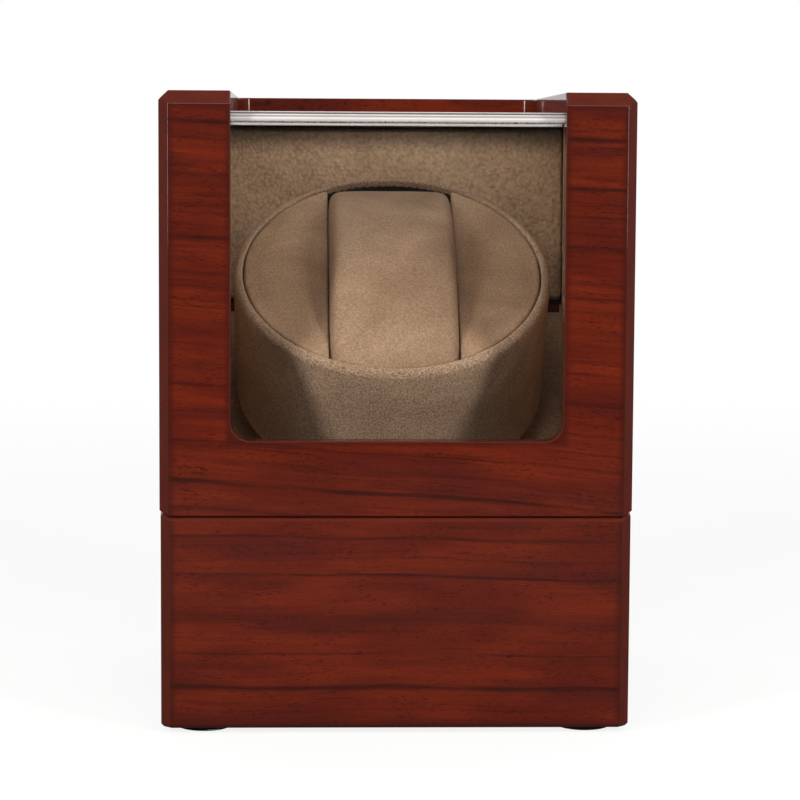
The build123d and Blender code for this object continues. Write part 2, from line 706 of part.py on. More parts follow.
output_place = (0.0, 0.0)
idler_2_place = step_from(output_place, IDLER_2_BEARING)
idler_1_place = step_from(idler_2_place, IDLER_1_BEARING)
motor_place = step_from(idler_1_place, MOTOR_BEARING)
output_phase = 0.0
idler_2_phase = meshing_phase(output_phase, IDLER_2_BEARING, GEAR_TEETH, PINION_TEETH)
idler_1_phase = meshing_phase(idler_2_phase, IDLER_1_BEARING, GEAR_TEETH, PINION_TEETH)
motor_phase = meshing_phase(idler_1_phase, MOTOR_BEARING, GEAR_TEETH, PINION_TEETH)


def tooth_half_angle(radius, teeth):
    """Half the angle that a tooth spans at a radius, from the involute of its base circle."""
    pitch_r = GEAR_MODULE * teeth / 2
    base_r = pitch_r * cos(radians(PRESSURE_ANGLE))
    half_at_pitch = (pi * GEAR_MODULE / 2 - BACKLASH / 2) / (2 * pitch_r)
    involute_at_pitch = tan(radians(PRESSURE_ANGLE)) - radians(PRESSURE_ANGLE)
    slope = acos(min(1.0, base_r / radius))
    return half_at_pitch + involute_at_pitch - (tan(slope) - slope)


def gear_outline(teeth, place, phase):
    """Closed outline of an involute gear; a tooth stands at the phase angle."""
    pitch_r = GEAR_MODULE * teeth / 2
    base_r = pitch_r * cos(radians(PRESSURE_ANGLE))
    root_r = pitch_r - DEDENDUM
    tip_r = pitch_r + ADDENDUM
    flank_start = max(base_r, root_r)
    flank = [flank_start + (tip_r - flank_start) * step / 4 for step in range(5)]
    if base_r > root_r:
        flank.insert(0, root_r)
    points = []
    for tooth in range(teeth):
        middle = radians(phase) + 2 * pi * tooth / teeth
        for radius in flank:
            angle = middle - tooth_half_angle(radius, teeth)
            points.append((place[0] + radius * cos(angle), place[1] + radius * sin(angle)))
        for radius in reversed(flank):
            angle = middle + tooth_half_angle(radius, teeth)
            points.append((place[0] + radius * cos(angle), place[1] + radius * sin(angle)))
    Polyline(*points, close=True)


def compound_idler(place, phase, gear_layer):
    """Wheel with its pinion on the upper side, moulded in one piece on a bored boss."""
    with BuildPart() as idler:
        with BuildSketch(down_axis(layer_top(gear_layer) + FACE_WIDTH)):
            with BuildLine():
                gear_outline(GEAR_TEETH, place, phase)
            make_face()
        extrude(amount=FACE_WIDTH)
        with BuildSketch(down_axis(layer_top(gear_layer))):
            with BuildLine():
                gear_outline(PINION_TEETH, place, phase)
            make_face()
        extrude(amount=LAYER_PITCH)
        with BuildSketch(down_axis(layer_top(gear_layer) + FACE_WIDTH)):
            with Locations(place):
                Circle(PIN_R + RUNNING)
        extrude(amount=FACE_WIDTH + LAYER_PITCH, mode=Mode.SUBTRACT)
    return idler.part


finish(compound_idler(idler_2_place, idler_2_phase, 1), "idler_2")
finish(compound_idler(idler_1_place, idler_1_phase, 2), "idler_1")

with BuildPart() as output_gear:
    with BuildSketch(down_axis(layer_top(0) + FACE_WIDTH)):
        with BuildLine():
            gear_outline(GEAR_TEETH, output_place, output_phase)
        make_face()
        Circle(SHAFT_R, mode=Mode.SUBTRACT)
    extrude(amount=FACE_WIDTH)
finish(output_gear.part, "output_gear")

housing_floor = deck_bottom + COVER_T + GEAR_ROOM
shaft_end = housing_floor + HOUSING_WALL + 3.0

with BuildPart() as output_shaft:
    with BuildSketch(down_axis(shaft_end)):
        Circle(SHAFT_R)
    extrude(amount=shaft_end - HUB_BOTTOM)
    with BuildSketch(down_axis(HUB_BOTTOM)):
        Circle(SHAFT_R)
        with Locations((0, SHAFT_R + SHAFT_FLAT)):
            Rectangle(2 * SHAFT_R, 4.0, mode=Mode.SUBTRACT)
    extrude(amount=HUB_BOTTOM - DRUM_LENGTH - 0.5)
finish(output_shaft.part, "output_shaft")

# ---- gearbox ----
wheel_room = GEAR_MODULE * GEAR_TEETH / 2 + ADDENDUM + GEAR_CLEARANCE
box_left = idler_2_place[0] - wheel_room
box_right = wheel_room
box_low = idler_1_place[1] - wheel_room
box_high = wheel_room
box_middle = ((box_left + box_right) / 2, (box_low + box_high) / 2)
box_size = (box_right - box_left + 2 * HOUSING_WALL, box_high - box_low + 2 * HOUSING_WALL)
EAR_R = 4.0
ear_places = [
    (box_middle[0] + x * (box_size[0] / 2 + 1.0), box_middle[1] + y * (box_size[1] / 2 - 6.0))
    for x in (-1, 1)
    for y in (-1, 1)
]
BUSH_R = 4.5

with BuildPart() as gearbox_cover:
    with BuildSketch(down_axis(deck_bottom + COVER_T)):
        with Locations(box_middle):
            RectangleRounded(*box_size, BOX_CORNER_R)
        with Locations(*ear_places):
            Circle(EAR_R)
    extrude(amount=COVER_T)
    with BuildSketch(down_axis(deck_bottom)):
        Circle(DECK_HOLE_R - 0.5)
    extrude(amount=DECK_T - 1.0)
    with BuildSketch(down_axis(deck_bottom + COVER_T)):
        Circle(BUSH_R)
    extrude(amount=DECK_T + COVER_T, mode=Mode.SUBTRACT)
    with BuildSketch(down_axis(deck_bottom + COVER_T)):
        with Locations(*ear_places):
            Circle(BOX_SCREW_R)
    extrude(amount=COVER_T, mode=Mode.SUBTRACT)
    with BuildSketch(down_axis(deck_bottom + COVER_T)):
        with Locations(idler_1_place, idler_2_place):
            Circle(PIN_R)
    extrude(amount=COVER_T - 0.8, mode=Mode.SUBTRACT)
finish(gearbox_cover.part, "gearbox_cover")

with BuildPart() as output_bush:
    bush_flange_bottom = DECK_DROP + DECK_LINING_T + 1.0
    with BuildSketch(down_axis(deck_bottom + COVER_T)):
        Circle(BUSH_R)
    extrude(amount=deck_bottom + COVER_T - bush_flange_bottom)
    with BuildSketch(down_axis(bush_flange_bottom)):
        Circle(6.5)
    extrude(amount=1.0)
    with BuildSketch(down_axis(deck_bottom + COVER_T)):
        Circle(SHAFT_R + RUNNING)
    extrude(amount=2 * DECK_T, mode=Mode.SUBTRACT)
finish(output_bush.part, "output_bush")

with BuildPart() as gearbox_housing:
    with BuildSketch(down_axis(housing_floor + HOUSING_WALL)):
        with Locations(box_middle):
            RectangleRounded(*box_size, BOX_CORNER_R)
        with Locations(*ear_places):
            Circle(EAR_R)
    extrude(amount=GEAR_ROOM + HOUSING_WALL)
    with BuildSketch(down_axis(housing_floor)):
        with Locations(box_middle):
            RectangleRounded(box_size[0] - 2 * HOUSING_WALL, box_size[1] - 2 * HOUSING_WALL, 2.0)
    extrude(amount=GEAR_ROOM, mode=Mode.SUBTRACT)
    with BuildSketch(down_axis(shaft_end + 1.5)):
        Circle(SHAFT_R + 2.5)
    extrude(amount=shaft_end + 1.5 - housing_floor)
    with BuildSketch(down_axis(shaft_end + 0.3)):
        Circle(SHAFT_R + RUNNING)
    extrude(amount=shaft_end + 0.3 - housing_floor, mode=Mode.SUBTRACT)
    with BuildSketch(down_axis(housing_floor + HOUSING_WALL)):
        with Locations(*ear_places):
            Circle(BOX_SCREW_R)
    extrude(amount=GEAR_ROOM + HOUSING_WALL, mode=Mode.SUBTRACT)
    with BuildSketch(down_axis(housing_floor + HOUSING_WALL - 0.6)):
        with Locations(idler_1_place, idler_2_place):
            Circle(PIN_R)
    extrude(amount=HOUSING_WALL - 0.6, mode=Mode.SUBTRACT)
    with BuildSketch(down_axis(housing_floor + HOUSING_WALL)):
        with Locations(motor_place):
            Circle(MOTOR_BOSS_R)
            with Locations((0, MOTOR_SCREW_SPREAD), (0, -MOTOR_SCREW_SPREAD)):
                Circle(MOTOR_SCREW_R)
    extrude(amount=HOUSING_WALL, mode=Mode.SUBTRACT)
finish(gearbox_housing.part, "gearbox_housing")

with BuildPart() as idler_pins:
    with BuildSketch(down_axis(housing_floor + HOUSING_WALL - 0.6)):
        with Locations(idler_1_place, idler_2_place):
            Circle(PIN_R)
    extrude(amount=GEAR_ROOM + HOUSING_WALL - 0.6 + COVER_T - 0.8)
finish(idler_pins.part, "idler_pins")

screw_head_plane = down_axis(housing_floor + HOUSING_WALL + BOX_SCREW_HEAD_T)
with BuildPart() as gearbox_screws:
    with BuildSketch(screw_head_plane):
        with Locations(*ear_places):
            Circle(BOX_SCREW_HEAD_R)
    extrude(amount=BOX_SCREW_HEAD_T)
    with BuildSketch(down_axis(housing_floor + HOUSING_WALL)):
        with Locations(*ear_places):
            Circle(BOX_SCREW_R)
    extrude(amount=GEAR_ROOM + HOUSING_WALL + COVER_T)
    with BuildSketch(screw_head_plane):
        for place in ear_places:
            with Locations(place):
                Rectangle(3.2, 0.8)
                Rectangle(0.8, 3.2)
    extrude(amount=1.0, mode=Mode.SUBTRACT)
finish(gearbox_screws.part, "gearbox_screws")

# ---- motor ----
motor_top = housing_floor + HOUSING_WALL
motor_bottom = motor_top + MOTOR_LENGTH

with BuildPart() as motor_case:
    with BuildSketch(down_axis(motor_bottom)):
        with Locations(motor_place):
            Circle(MOTOR_R)
    extrude(amount=MOTOR_LENGTH)
    with BuildSketch(down_axis(motor_bottom - MOTOR_WALL)):
        with Locations(motor_place):
            Circle(MOTOR_R - MOTOR_WALL)
    extrude(amount=MOTOR_LENGTH - 2 * MOTOR_WALL, mode=Mode.SUBTRACT)
    with BuildSketch(down_axis(motor_bottom + 1.8)):
        with Locations(motor_place):
            Circle(MOTOR_BOSS_R)
    extrude(amount=2.2)
    with BuildSketch(down_axis(motor_top)):
        with Locations(motor_place):
            Circle(MOTOR_BOSS_R)
    extrude(amount=HOUSING_WALL)
    with BuildSketch(down_axis(motor_bottom + 1.2)):
        with Locations(motor_place):
            Circle(PIN_R + RUNNING)
    extrude(amount=1.2 + MOTOR_LENGTH + HOUSING_WALL, mode=Mode.SUBTRACT)
    with BuildSketch(down_axis(motor_top + MOTOR_WALL)):
        with Locations(motor_place):
            with Locations((0, MOTOR_SCREW_SPREAD), (0, -MOTOR_SCREW_SPREAD)):
                Circle(MOTOR_SCREW_R)
    extrude(amount=MOTOR_WALL, mode=Mode.SUBTRACT)
    # Two solder tabs on the end face.
    with BuildSketch(down_axis(motor_bottom + 3.0)):
        with Locations(motor_place):
            with Locations((-TERMINAL_SPREAD, 0), (TERMINAL_SPREAD, 0)):
                Rectangle(0.6, 2.2)
    extrude(amount=3.0)
finish(motor_case.part, "motor_case")

with BuildPart() as motor_armature:
    with BuildSketch(down_axis(motor_bottom + 0.8)):
        with Locations(motor_place):
            Circle(PIN_R)
    extrude(amount=motor_bottom + 0.8 - layer_top(2))
    with BuildSketch(down_axis(motor_bottom - 8.0)):
        with Locations(motor_place):
            Circle(ARMATURE_R)
            with PolarLocations(ARMATURE_R - 1.2, 3):
                RectangleRounded(3.0, 3.4, 1.0, mode=Mode.SUBTRACT)
    extrude(amount=12.0)
    with BuildSketch(down_axis(motor_bottom - 3.0)):
        with Locations(motor_place):
            Circle(2.6)
    extrude(amount=4.0)
finish(motor_armature.part, "motor_armature")

with BuildPart() as motor_pinion:
    with BuildSketch(down_axis(layer_top(2) + FACE_WIDTH)):
        with BuildLine():
            gear_outline(PINION_TEETH, motor_place, motor_phase)
        make_face()
        with Locations(motor_place):
            Circle(PIN_R, mode=Mode.SUBTRACT)
    extrude(amount=FACE_WIDTH)
finish(motor_pinion.part, "motor_pinion")

with BuildPart() as motor_screws:
    with BuildSketch(down_axis(motor_top + 3.0)):
        with Locations(motor_place):
            with Locations((0, MOTOR_SCREW_SPREAD), (0, -MOTOR_SCREW_SPREAD)):
                Circle(MOTOR_SCREW_R)
    extrude(amount=3.0 + HOUSING_WALL)
    with BuildSketch(down_axis(housing_floor)):
        with Locations(motor_place):
            with Locations((0, MOTOR_SCREW_SPREAD), (0, -MOTOR_SCREW_SPREAD)):
                Circle(1.8)
    extrude(amount=0.5)
finish(motor_screws.part, "motor_screws")

# ---- control board ----
BOARD_T = 1.6
board_middle = (-29.0, at_depth(76.0))
board_size = (38.0, 40.0)
board_z = at_height(BOTTOM_T + STANDOFF_H)
board_hole_places = [
    (board_middle[0] + x * (board_size[0] / 2 - 3), board_middle[1] + y * (board_size[1] / 2 - 3))
    for x in (-1, 1)
    for y in (-1, 1)
]

with BuildPart() as control_board:
    with BuildSketch(Plane.XY.offset(board_z)):
        with Locations(board_middle):
            RectangleRounded(*board_size, 1.5)
        with Locations(*board_hole_places):
            Circle(BOARD_SCREW_R, mode=Mode.SUBTRACT)
    extrude(amount=BOARD_T)
finish(control_board.part, "control_board")

with BuildPart() as board_standoffs:
    with BuildSketch(Plane.XY.offset(at_height(BOTTOM_T))):
        with Locations(*board_hole_places):
            Circle(STANDOFF_R)
    extrude(amount=STANDOFF_H)
    with BuildSketch(Plane.XY.offset(board_z)):
        with Locations(*board_hole_places):
            Circle(BOARD_SCREW_R)
    extrude(amount=BOARD_T + 1.4)
finish(board_standoffs.part, "board_standoffs")

component_top = board_z + BOARD_T
lead_socket_x = board_middle[0] + SOCKET_OFFSET
with BuildPart() as board_components:
    with BuildSketch(Plane.XY.offset(component_top)):
        with Locations((board_middle[0] - 2.0, board_middle[1] - 4.0)):
            Rectangle(6.0, 9.0)
    extrude(amount=1.8)
    with BuildSketch(Plane.XY.offset(component_top)):
        with Locations((board_middle[0] - 12.5, board_middle[1] - 8.0)):
            Circle(3.2)
        with Locations((board_middle[0] - 12.5, board_middle[1] + 1.0)):
            Circle(3.2)
    extrude(amount=8.0)
    with BuildSketch(Plane.XY.offset(component_top)):
        with Locations((lead_socket_x, board_middle[1] - 6.0)):
            Rectangle(5.0, 7.0)
        with Locations((board_middle[0] - 2.0, board_middle[1] + 14.0)):
            Rectangle(7.0, 5.0)
    extrude(amount=5.0)
finish(board_components.part, "board_components")

# ---- rear control plate, inlet, mode switch and power switch ----
jack_place = (CONTROL_SPACING, at_height(PLATE_HEIGHT))
knob_place = (0.0, at_height(PLATE_HEIGHT))
rocker_place = (-CONTROL_SPACING, at_height(PLATE_HEIGHT))
plate_back = PLATE_FACE - PLATE_T
NECK_R = 3.9
ROCKER_W = 8.0
ROCKER_H = 12.0

with BuildPart() as control_plate:
    with BuildSketch(rear_plane(plate_back)):
        with Locations((0, at_height(PLATE_HEIGHT))):
            RectangleRounded(PLATE_W, PLATE_H, 3.0)
            with Locations(*plate_screw_places):
                Circle(PLATE_SCREW_R * 1.2, mode=Mode.SUBTRACT)
        with Locations(jack_place, knob_place):
            Circle(NECK_R, mode=Mode.SUBTRACT)
        with Locations(rocker_place):
            Rectangle(ROCKER_W + ROCKER_SURROUND, ROCKER_H + ROCKER_SURROUND, mode=Mode.SUBTRACT)
    extrude(amount=PLATE_T)
    outer_face = control_plate.faces().sort_by(Axis.Y)[-1]
    chamfer(outer_face.outer_wire().edges(), 0.4)
finish(control_plate.part, "control_plate")

with BuildPart() as plate_screws:
    with BuildSketch(rear_plane(PLATE_FACE)):
        with Locations((0, at_height(PLATE_HEIGHT))):
            with Locations(*plate_screw_places):
                Circle(PLATE_SCREW_HEAD_R)
    extrude(amount=PLATE_SCREW_HEAD_T)
    fillet(plate_screws.faces().filter_by(Axis.Y).group_by(Axis.Y)[-1].edges(), 0.7)
    with BuildSketch(rear_plane(PLATE_FACE)):
        with Locations((0, at_height(PLATE_HEIGHT))):
            with Locations(*plate_screw_places):
                Circle(PLATE_SCREW_R)
    extrude(amount=-6.0)
    with BuildSketch(rear_plane(PLATE_FACE + PLATE_SCREW_HEAD_T)):
        with Locations((0, at_height(PLATE_HEIGHT))):
            for place in plate_screw_places:
                with Locations(place):
                    Rectangle(2.4, 0.6)
                    Rectangle(0.6, 2.4)
    extrude(amount=-0.7, mode=Mode.SUBTRACT)
finish(plate_screws.part, "plate_screws")

with BuildPart() as dc_jack:
    with BuildSketch(rear_plane(PLATE_FACE)):
        with Locations(jack_place):
            Circle(5.4)
    extrude(amount=1.0)
    with BuildSketch(rear_plane(PLATE_FACE)):
        with Locations(jack_place):
            Circle(NECK_R)
    extrude(amount=-JACK_LENGTH)
    with BuildSketch(rear_plane(plate_back)):
        with Locations(jack_place):
            RegularPolygon(6.0, 6)
    extrude(amount=-2.0)
    with BuildSketch(rear_plane(PLATE_FACE + 1.0)):
        with Locations(jack_place):
            Circle(JACK_BORE_R)
    extrude(amount=-10.0, mode=Mode.SUBTRACT)
    with BuildSketch(rear_plane(PLATE_FACE - JACK_LENGTH)):
        with Locations(jack_place):
            with Locations((-2.0, 0), (2.0, 0)):
                Rectangle(0.6, 2.0)
    extrude(amount=-3.0)
finish(dc_jack.part, "dc_jack")

with BuildPart() as dc_jack_contact:
    with BuildSketch(rear_plane(PLATE_FACE - 9.0)):
        with Locations(jack_place):
            Circle(JACK_PIN_R)
    extrude(amount=JACK_PIN_LENGTH + 0.4)
    fillet(dc_jack_contact.faces().sort_by(Axis.Y)[-1].edges(), 0.4)
finish(dc_jack_contact.part, "dc_jack_contact")

knob_bottom = PLATE_FACE + 2.4
knob_top = Y_FRONT + DEPTH + REAR_STANDOFF
with BuildPart() as mode_switch:
    with BuildSketch(rear_plane(plate_back)):
        with Locations(knob_place):
            Rectangle(14.0, 14.0)
    extrude(amount=-7.0)
    with BuildSketch(rear_plane(plate_back)):
        with Locations(knob_place):
            Circle(NECK_R)
    extrude(amount=PLATE_T + 1.9)
    with BuildSketch(rear_plane(PLATE_FACE)):
        with Locations(knob_place):
            RegularPolygon(5.2, 6)
            Circle(NECK_R, mode=Mode.SUBTRACT)
    extrude(amount=1.2)
    with BuildSketch(rear_plane(plate_back - 5.0)):
        with Locations(knob_place):
            Circle(KNOB_SHAFT_R + RUNNING)
    extrude(amount=2 * WALL, mode=Mode.SUBTRACT)
    with BuildSketch(rear_plane(plate_back - 7.0)):
        with Locations(knob_place):
            with GridLocations(4.0, 8.0, 3, 2):
                Rectangle(0.8, 0.4)
    extrude(amount=-2.5)
finish(mode_switch.part, "mode_switch")

with BuildPart() as mode_knob:
    with BuildSketch(rear_plane(knob_bottom)):
        with Locations(knob_place):
            Circle(KNOB_R)
            with PolarLocations(KNOB_R + 0.15, 18):
                Circle(0.55, mode=Mode.SUBTRACT)
    extrude(amount=knob_top - knob_bottom)
    with BuildSketch(rear_plane(knob_bottom)):
        with Locations(knob_place):
            Circle(KNOB_R - 1.4)
            Circle(KNOB_SHAFT_R + 1.4, mode=Mode.SUBTRACT)
    extrude(amount=1.2, mode=Mode.SUBTRACT)
    with BuildSketch(rear_plane(knob_bottom + 0.1)):
        with Locations(knob_place):
            Circle(KNOB_SHAFT_R)
    extrude(amount=-(knob_bottom - plate_back) - 4.5)
    with BuildSketch(rear_plane(knob_top)):
        with Locations(knob_place):
            with Locations((0, KNOB_R * 0.62)):
                RectangleRounded(0.9, KNOB_R * 0.55, 0.4)
    extrude(amount=-0.35, mode=Mode.SUBTRACT)
finish(mode_knob.part, "mode_knob")

with BuildPart() as power_switch:
    with BuildSketch(rear_plane(PLATE_FACE)):
        with Locations(rocker_place):
            RectangleRounded(ROCKER_W + 5.0, ROCKER_H + 5.0, 1.0)
    extrude(amount=1.2)
    with BuildSketch(rear_plane(PLATE_FACE)):
        with Locations(rocker_place):
            Rectangle(ROCKER_W + ROCKER_SURROUND, ROCKER_H + ROCKER_SURROUND)
    extrude(amount=-10.0)
    with BuildSketch(rear_plane(PLATE_FACE + 1.2)):
        with Locations(rocker_place):
            Rectangle(ROCKER_W, ROCKER_H)
    extrude(amount=-7.0, mode=Mode.SUBTRACT)
    rocker_axis_y = PLATE_FACE - 0.6
    with BuildSketch(Plane(origin=(-rocker_place[0], rocker_axis_y, rocker_place[1]), z_dir=(1, 0, 0))):
        Circle(ROCKER_PIN_R + RUNNING)
    extrude(amount=ROCKER_W / 2 + 0.8, both=True, mode=Mode.SUBTRACT)
    with BuildSketch(rear_plane(PLATE_FACE - 10.0)):
        with Locations(rocker_place):
            with Locations((0, -3.5), (0, 3.5)):
                Rectangle(3.0, 0.6)
    extrude(amount=-4.0)
finish(power_switch.part, "power_switch")

rocker_plane = Plane(
    origin=(-rocker_place[0], rocker_axis_y, rocker_place[1]), x_dir=(0, 1, 0), z_dir=(1, 0, 0)
)
with BuildPart() as power_rocker:
    with BuildSketch(rocker_plane.rotated((0, 0, -ROCKER_TILT))):
        with BuildLine():
            half = ROCKER_H / 2 - 0.45
            Polyline(
                (-1.6, -half + 0.9),
                (2.6, -half),
                (2.0, 0),
                (2.6, half),
                (-1.6, half - 0.9),
                (-3.0, 0),
                close=True,
            )
        make_face()
    extrude(amount=ROCKER_W / 2 - 0.3, both=True)
    with BuildSketch(rocker_plane):
        Circle(ROCKER_PIN_R)
    extrude(amount=ROCKER_W / 2 + 0.6, both=True)
finish(power_rocker.part, "power_rocker")

# ---- internal leads ----
LEAD_R = 0.65


def lead(*points):
    """Round insulated wire along straight runs joined by arcs as large as the runs allow."""
    corners = [Vector(point) for point in points]
    bends = []
    for before, corner, after in zip(corners, corners[1:], corners[2:]):
        turn = radians((corner - before).get_angle(after - corner))
        shorter = min((corner - before).length, (after - corner).length)
        bends.append(0.45 * shorter / tan(turn / 2))
    with BuildPart() as wire:
        with BuildLine() as route:
            FilletPolyline(*corners, radius=bends)
        with BuildSketch(Plane(origin=route.line @ 0, z_dir=route.line % 0)):
            Circle(LEAD_R)
        sweep()
    return wire.part


def drum_local(place, below_face):
    """Model point of a place measured square to the drum's axis."""
    return drum_plane.from_local_coords((place[0], place[1], -below_face))


socket_side = lead_socket_x + 2.5
socket_top = component_top + 5.0
motor_tabs = [(motor_place[0] + x, motor_place[1]) for x in (-TERMINAL_SPREAD, TERMINAL_SPREAD)]
with BuildPart() as motor_leads:
    for index, tab in enumerate(motor_tabs):
        pin_z = component_top + 3.6 - 2.2 * index
        socket_y = board_middle[1] - 6.0
        add(
            lead(
                drum_local(tab, motor_bottom + 3.0),
                drum_local(tab, motor_bottom + 7.0),
                (socket_side + 7.0, at_depth(86.0 + 3.0 * index), pin_z),
                (socket_side + 5.0, socket_y, pin_z),
                (socket_side, socket_y, pin_z),
            )
        )
finish(motor_leads.part, "motor_leads")

with BuildPart() as power_leads:
    for index in (0, 1):
        jack_x = -jack_place[0] + (-2.0, 2.0)[index]
        socket_x = board_middle[0] - 3.5 + 3.0 * index
        socket_y = board_middle[1] + 14.0
        add(
            lead(
                (jack_x, PLATE_FACE - 14.0, jack_place[1]),
                (jack_x, PLATE_FACE - 19.0, jack_place[1]),
                (socket_x, socket_y, socket_top + 6.0),
                (socket_x, socket_y, socket_top),
            )
        )
    for index in (0, 1):
        height = rocker_place[1] + (-3.5, 3.5)[index]
        floor_z = at_height(BOTTOM_T) + 2.0 + 2.0 * index
        rear_depth = 92.0 - 3.0 * index
        add(
            lead(
                (-rocker_place[0], PLATE_FACE - 14.0, height),
                (-rocker_place[0], PLATE_FACE - 19.0 - 3.0 * index, height),
                (-rocker_place[0] - 4.0, at_depth(rear_depth), floor_z + 1.0),
                (board_middle[0] + board_size[0] / 2 + 6.0, at_depth(84.0 - 3.0 * index), board_z + 0.8),
                (board_middle[0] + board_size[0] / 2, at_depth(84.0 - 3.0 * index), board_z + 0.8),
            )
        )
finish(power_leads.part, "power_leads")

# ---- hinges ----
knuckle_gap = 0.2
centre_knuckle = HINGE_LENGTH * 0.36
side_knuckle = (HINGE_LENGTH - centre_knuckle) / 2 - knuckle_gap
side_offset = (HINGE_LENGTH - side_knuckle) / 2


def hinge_leaf(side, knuckles):
    """Leaves of both hinges on one side of the seam, with their knuckles (centre, length)."""
    leaf_start = 1.2
    face = hinge_plane.offset(side * SEAM_GAP / 2)
    knuckle_section = Plane(origin=hinge_plane.origin, x_dir=(0, 1, 0), z_dir=(1, 0, 0))
    with BuildPart() as leaf:
        for hinge_x, _ in hinge_places:
            with BuildSketch(face):
                with Locations((hinge_x, -(leaf_length + leaf_start) / 2)):
                    Rectangle(HINGE_LENGTH, leaf_length - leaf_start)
            extrude(amount=side * LEAF_T)
            # Space for the other leaf's knuckles.
            for centre, length in ((-side_offset, side_knuckle), (0, centre_knuckle), (side_offset, side_knuckle)):
                wanted = (centre, length) in knuckles
                with BuildSketch(knuckle_section.offset(hinge_x + centre)):
                    Circle(KNUCKLE_R if wanted else KNUCKLE_R + 0.25)
                half = length / 2 if wanted else length / 2 + knuckle_gap + 0.02
                extrude(amount=half, both=True, mode=Mode.ADD if wanted else Mode.SUBTRACT)
        with BuildSketch(knuckle_section):
            Circle(HINGE_PIN_R + RUNNING)
        extrude(amount=HINGE_SPACING, both=True, mode=Mode.SUBTRACT)
        with BuildSketch(face):
            with Locations(*hinge_places):
                with Locations(*leaf_hole_places):
                    Circle(1.4)
        extrude(amount=side * LEAF_T, mode=Mode.SUBTRACT)
    return leaf.part


outer_knuckles = ((-side_offset, side_knuckle), (side_offset, side_knuckle))
finish(hinge_leaf(-1, outer_knuckles), "hinge_base_leaves")
finish(hinge_leaf(1, ((0, centre_knuckle),)), "hinge_lid_leaves")

with BuildPart() as hinge_pins:
    for hinge_x, _ in hinge_places:
        pin_section = Plane(origin=hinge_plane.origin, x_dir=(0, 1, 0), z_dir=(1, 0, 0))
        with BuildSketch(pin_section.offset(hinge_x)):
            Circle(HINGE_PIN_R)
        extrude(amount=HINGE_LENGTH / 2 + 0.4, both=True)
        with BuildSketch(pin_section.offset(hinge_x + HINGE_LENGTH / 2)):
            Circle(HINGE_PIN_R + 0.5)
        extrude(amount=0.6)
finish(hinge_pins.part, "hinge_pins")


def hinge_screw_set(side):
    """Countersunk wood screws of both leaves on one side of the seam."""
    face = hinge_plane.offset(side * SEAM_GAP / 2)
    with BuildPart() as screws:
        with BuildSketch(face):
            with Locations(*hinge_places):
                with Locations(*leaf_hole_places):
                    Circle(1.4)
        extrude(amount=side * LEAF_T)
        with BuildSketch(face):
            with Locations(*hinge_places):
                with Locations(*leaf_hole_places):
                    Circle(LEAF_SCREW_R)
        extrude(amount=side * LEAF_SCREW_LENGTH)
        with BuildSketch(face):
            for hinge_place in hinge_places:
                for hole_place in leaf_hole_places:
                    with Locations((hinge_place[0] + hole_place[0], hole_place[1])):
                        Rectangle(1.8, 0.4)
                        Rectangle(0.4, 1.8)
        extrude(amount=side * 0.4, mode=Mode.SUBTRACT)
    return screws.part


finish(hinge_screw_set(-1), "hinge_base_screws")
finish(hinge_screw_set(1), "hinge_lid_screws")
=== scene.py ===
import json
import math

import bmesh
import bpy
from mathutils import Matrix, Vector, noise


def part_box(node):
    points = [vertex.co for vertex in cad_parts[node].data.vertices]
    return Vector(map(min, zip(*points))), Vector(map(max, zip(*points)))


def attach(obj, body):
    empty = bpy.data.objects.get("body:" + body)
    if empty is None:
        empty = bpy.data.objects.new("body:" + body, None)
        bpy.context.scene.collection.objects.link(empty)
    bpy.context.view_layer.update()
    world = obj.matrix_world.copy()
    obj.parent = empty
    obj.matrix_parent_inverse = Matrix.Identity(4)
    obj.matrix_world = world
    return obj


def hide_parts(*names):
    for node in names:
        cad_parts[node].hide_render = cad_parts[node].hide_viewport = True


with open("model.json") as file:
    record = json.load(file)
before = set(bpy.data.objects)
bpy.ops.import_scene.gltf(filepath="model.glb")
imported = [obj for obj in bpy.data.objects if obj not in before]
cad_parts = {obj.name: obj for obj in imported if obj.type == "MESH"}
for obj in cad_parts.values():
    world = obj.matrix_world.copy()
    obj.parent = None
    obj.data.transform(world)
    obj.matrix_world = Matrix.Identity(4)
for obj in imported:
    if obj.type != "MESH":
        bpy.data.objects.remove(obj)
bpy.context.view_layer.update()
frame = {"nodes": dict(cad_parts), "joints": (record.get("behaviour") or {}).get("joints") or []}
scene = bpy.context.scene
MM = 0.001


# ---- places, all read from the frame ----
def joint(name):
    return next(j for j in frame["joints"] if j["name"] == name)


ACROSS = Vector((1, 0, 0))
drum_face = Vector(joint("drum_spin")["pos_m"])
drum_up = Vector(joint("drum_spin")["axis"]).normalized()
drum_back = drum_up.cross(ACROSS)
body_low, body_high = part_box("lid_front")[0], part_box("lid_top")[1]
wood_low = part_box("base_front")[0].z
half_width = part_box("lid_right")[1].x


def at_drum(x, s, h):
    """Point x across, s towards the rear and h up the drum's axis from the middle of its face, in millimetres."""
    return drum_face + (ACROSS * x + drum_back * s + drum_up * h) * MM


def in_drum(point):
    """The three millimetre coordinates that at_drum takes."""
    p = (point - drum_face) / MM
    return p.dot(ACROSS), p.dot(drum_back), p.dot(drum_up)


def span(node, direction):
    """Lowest and highest millimetre of a CAD node along a direction, from the middle of the drum's face."""
    reach = [(v.co - drum_face).dot(direction) / MM for v in frame["nodes"][node].data.vertices]
    return min(reach), max(reach)


def srgb(r, g, b):
    """Linear colour for 0-255 display values."""
    return tuple(c / 3294.6 if c <= 10.3 else ((c / 255 + 0.055) / 1.055) ** 2.4 for c in (r, g, b)) + (1.0,)


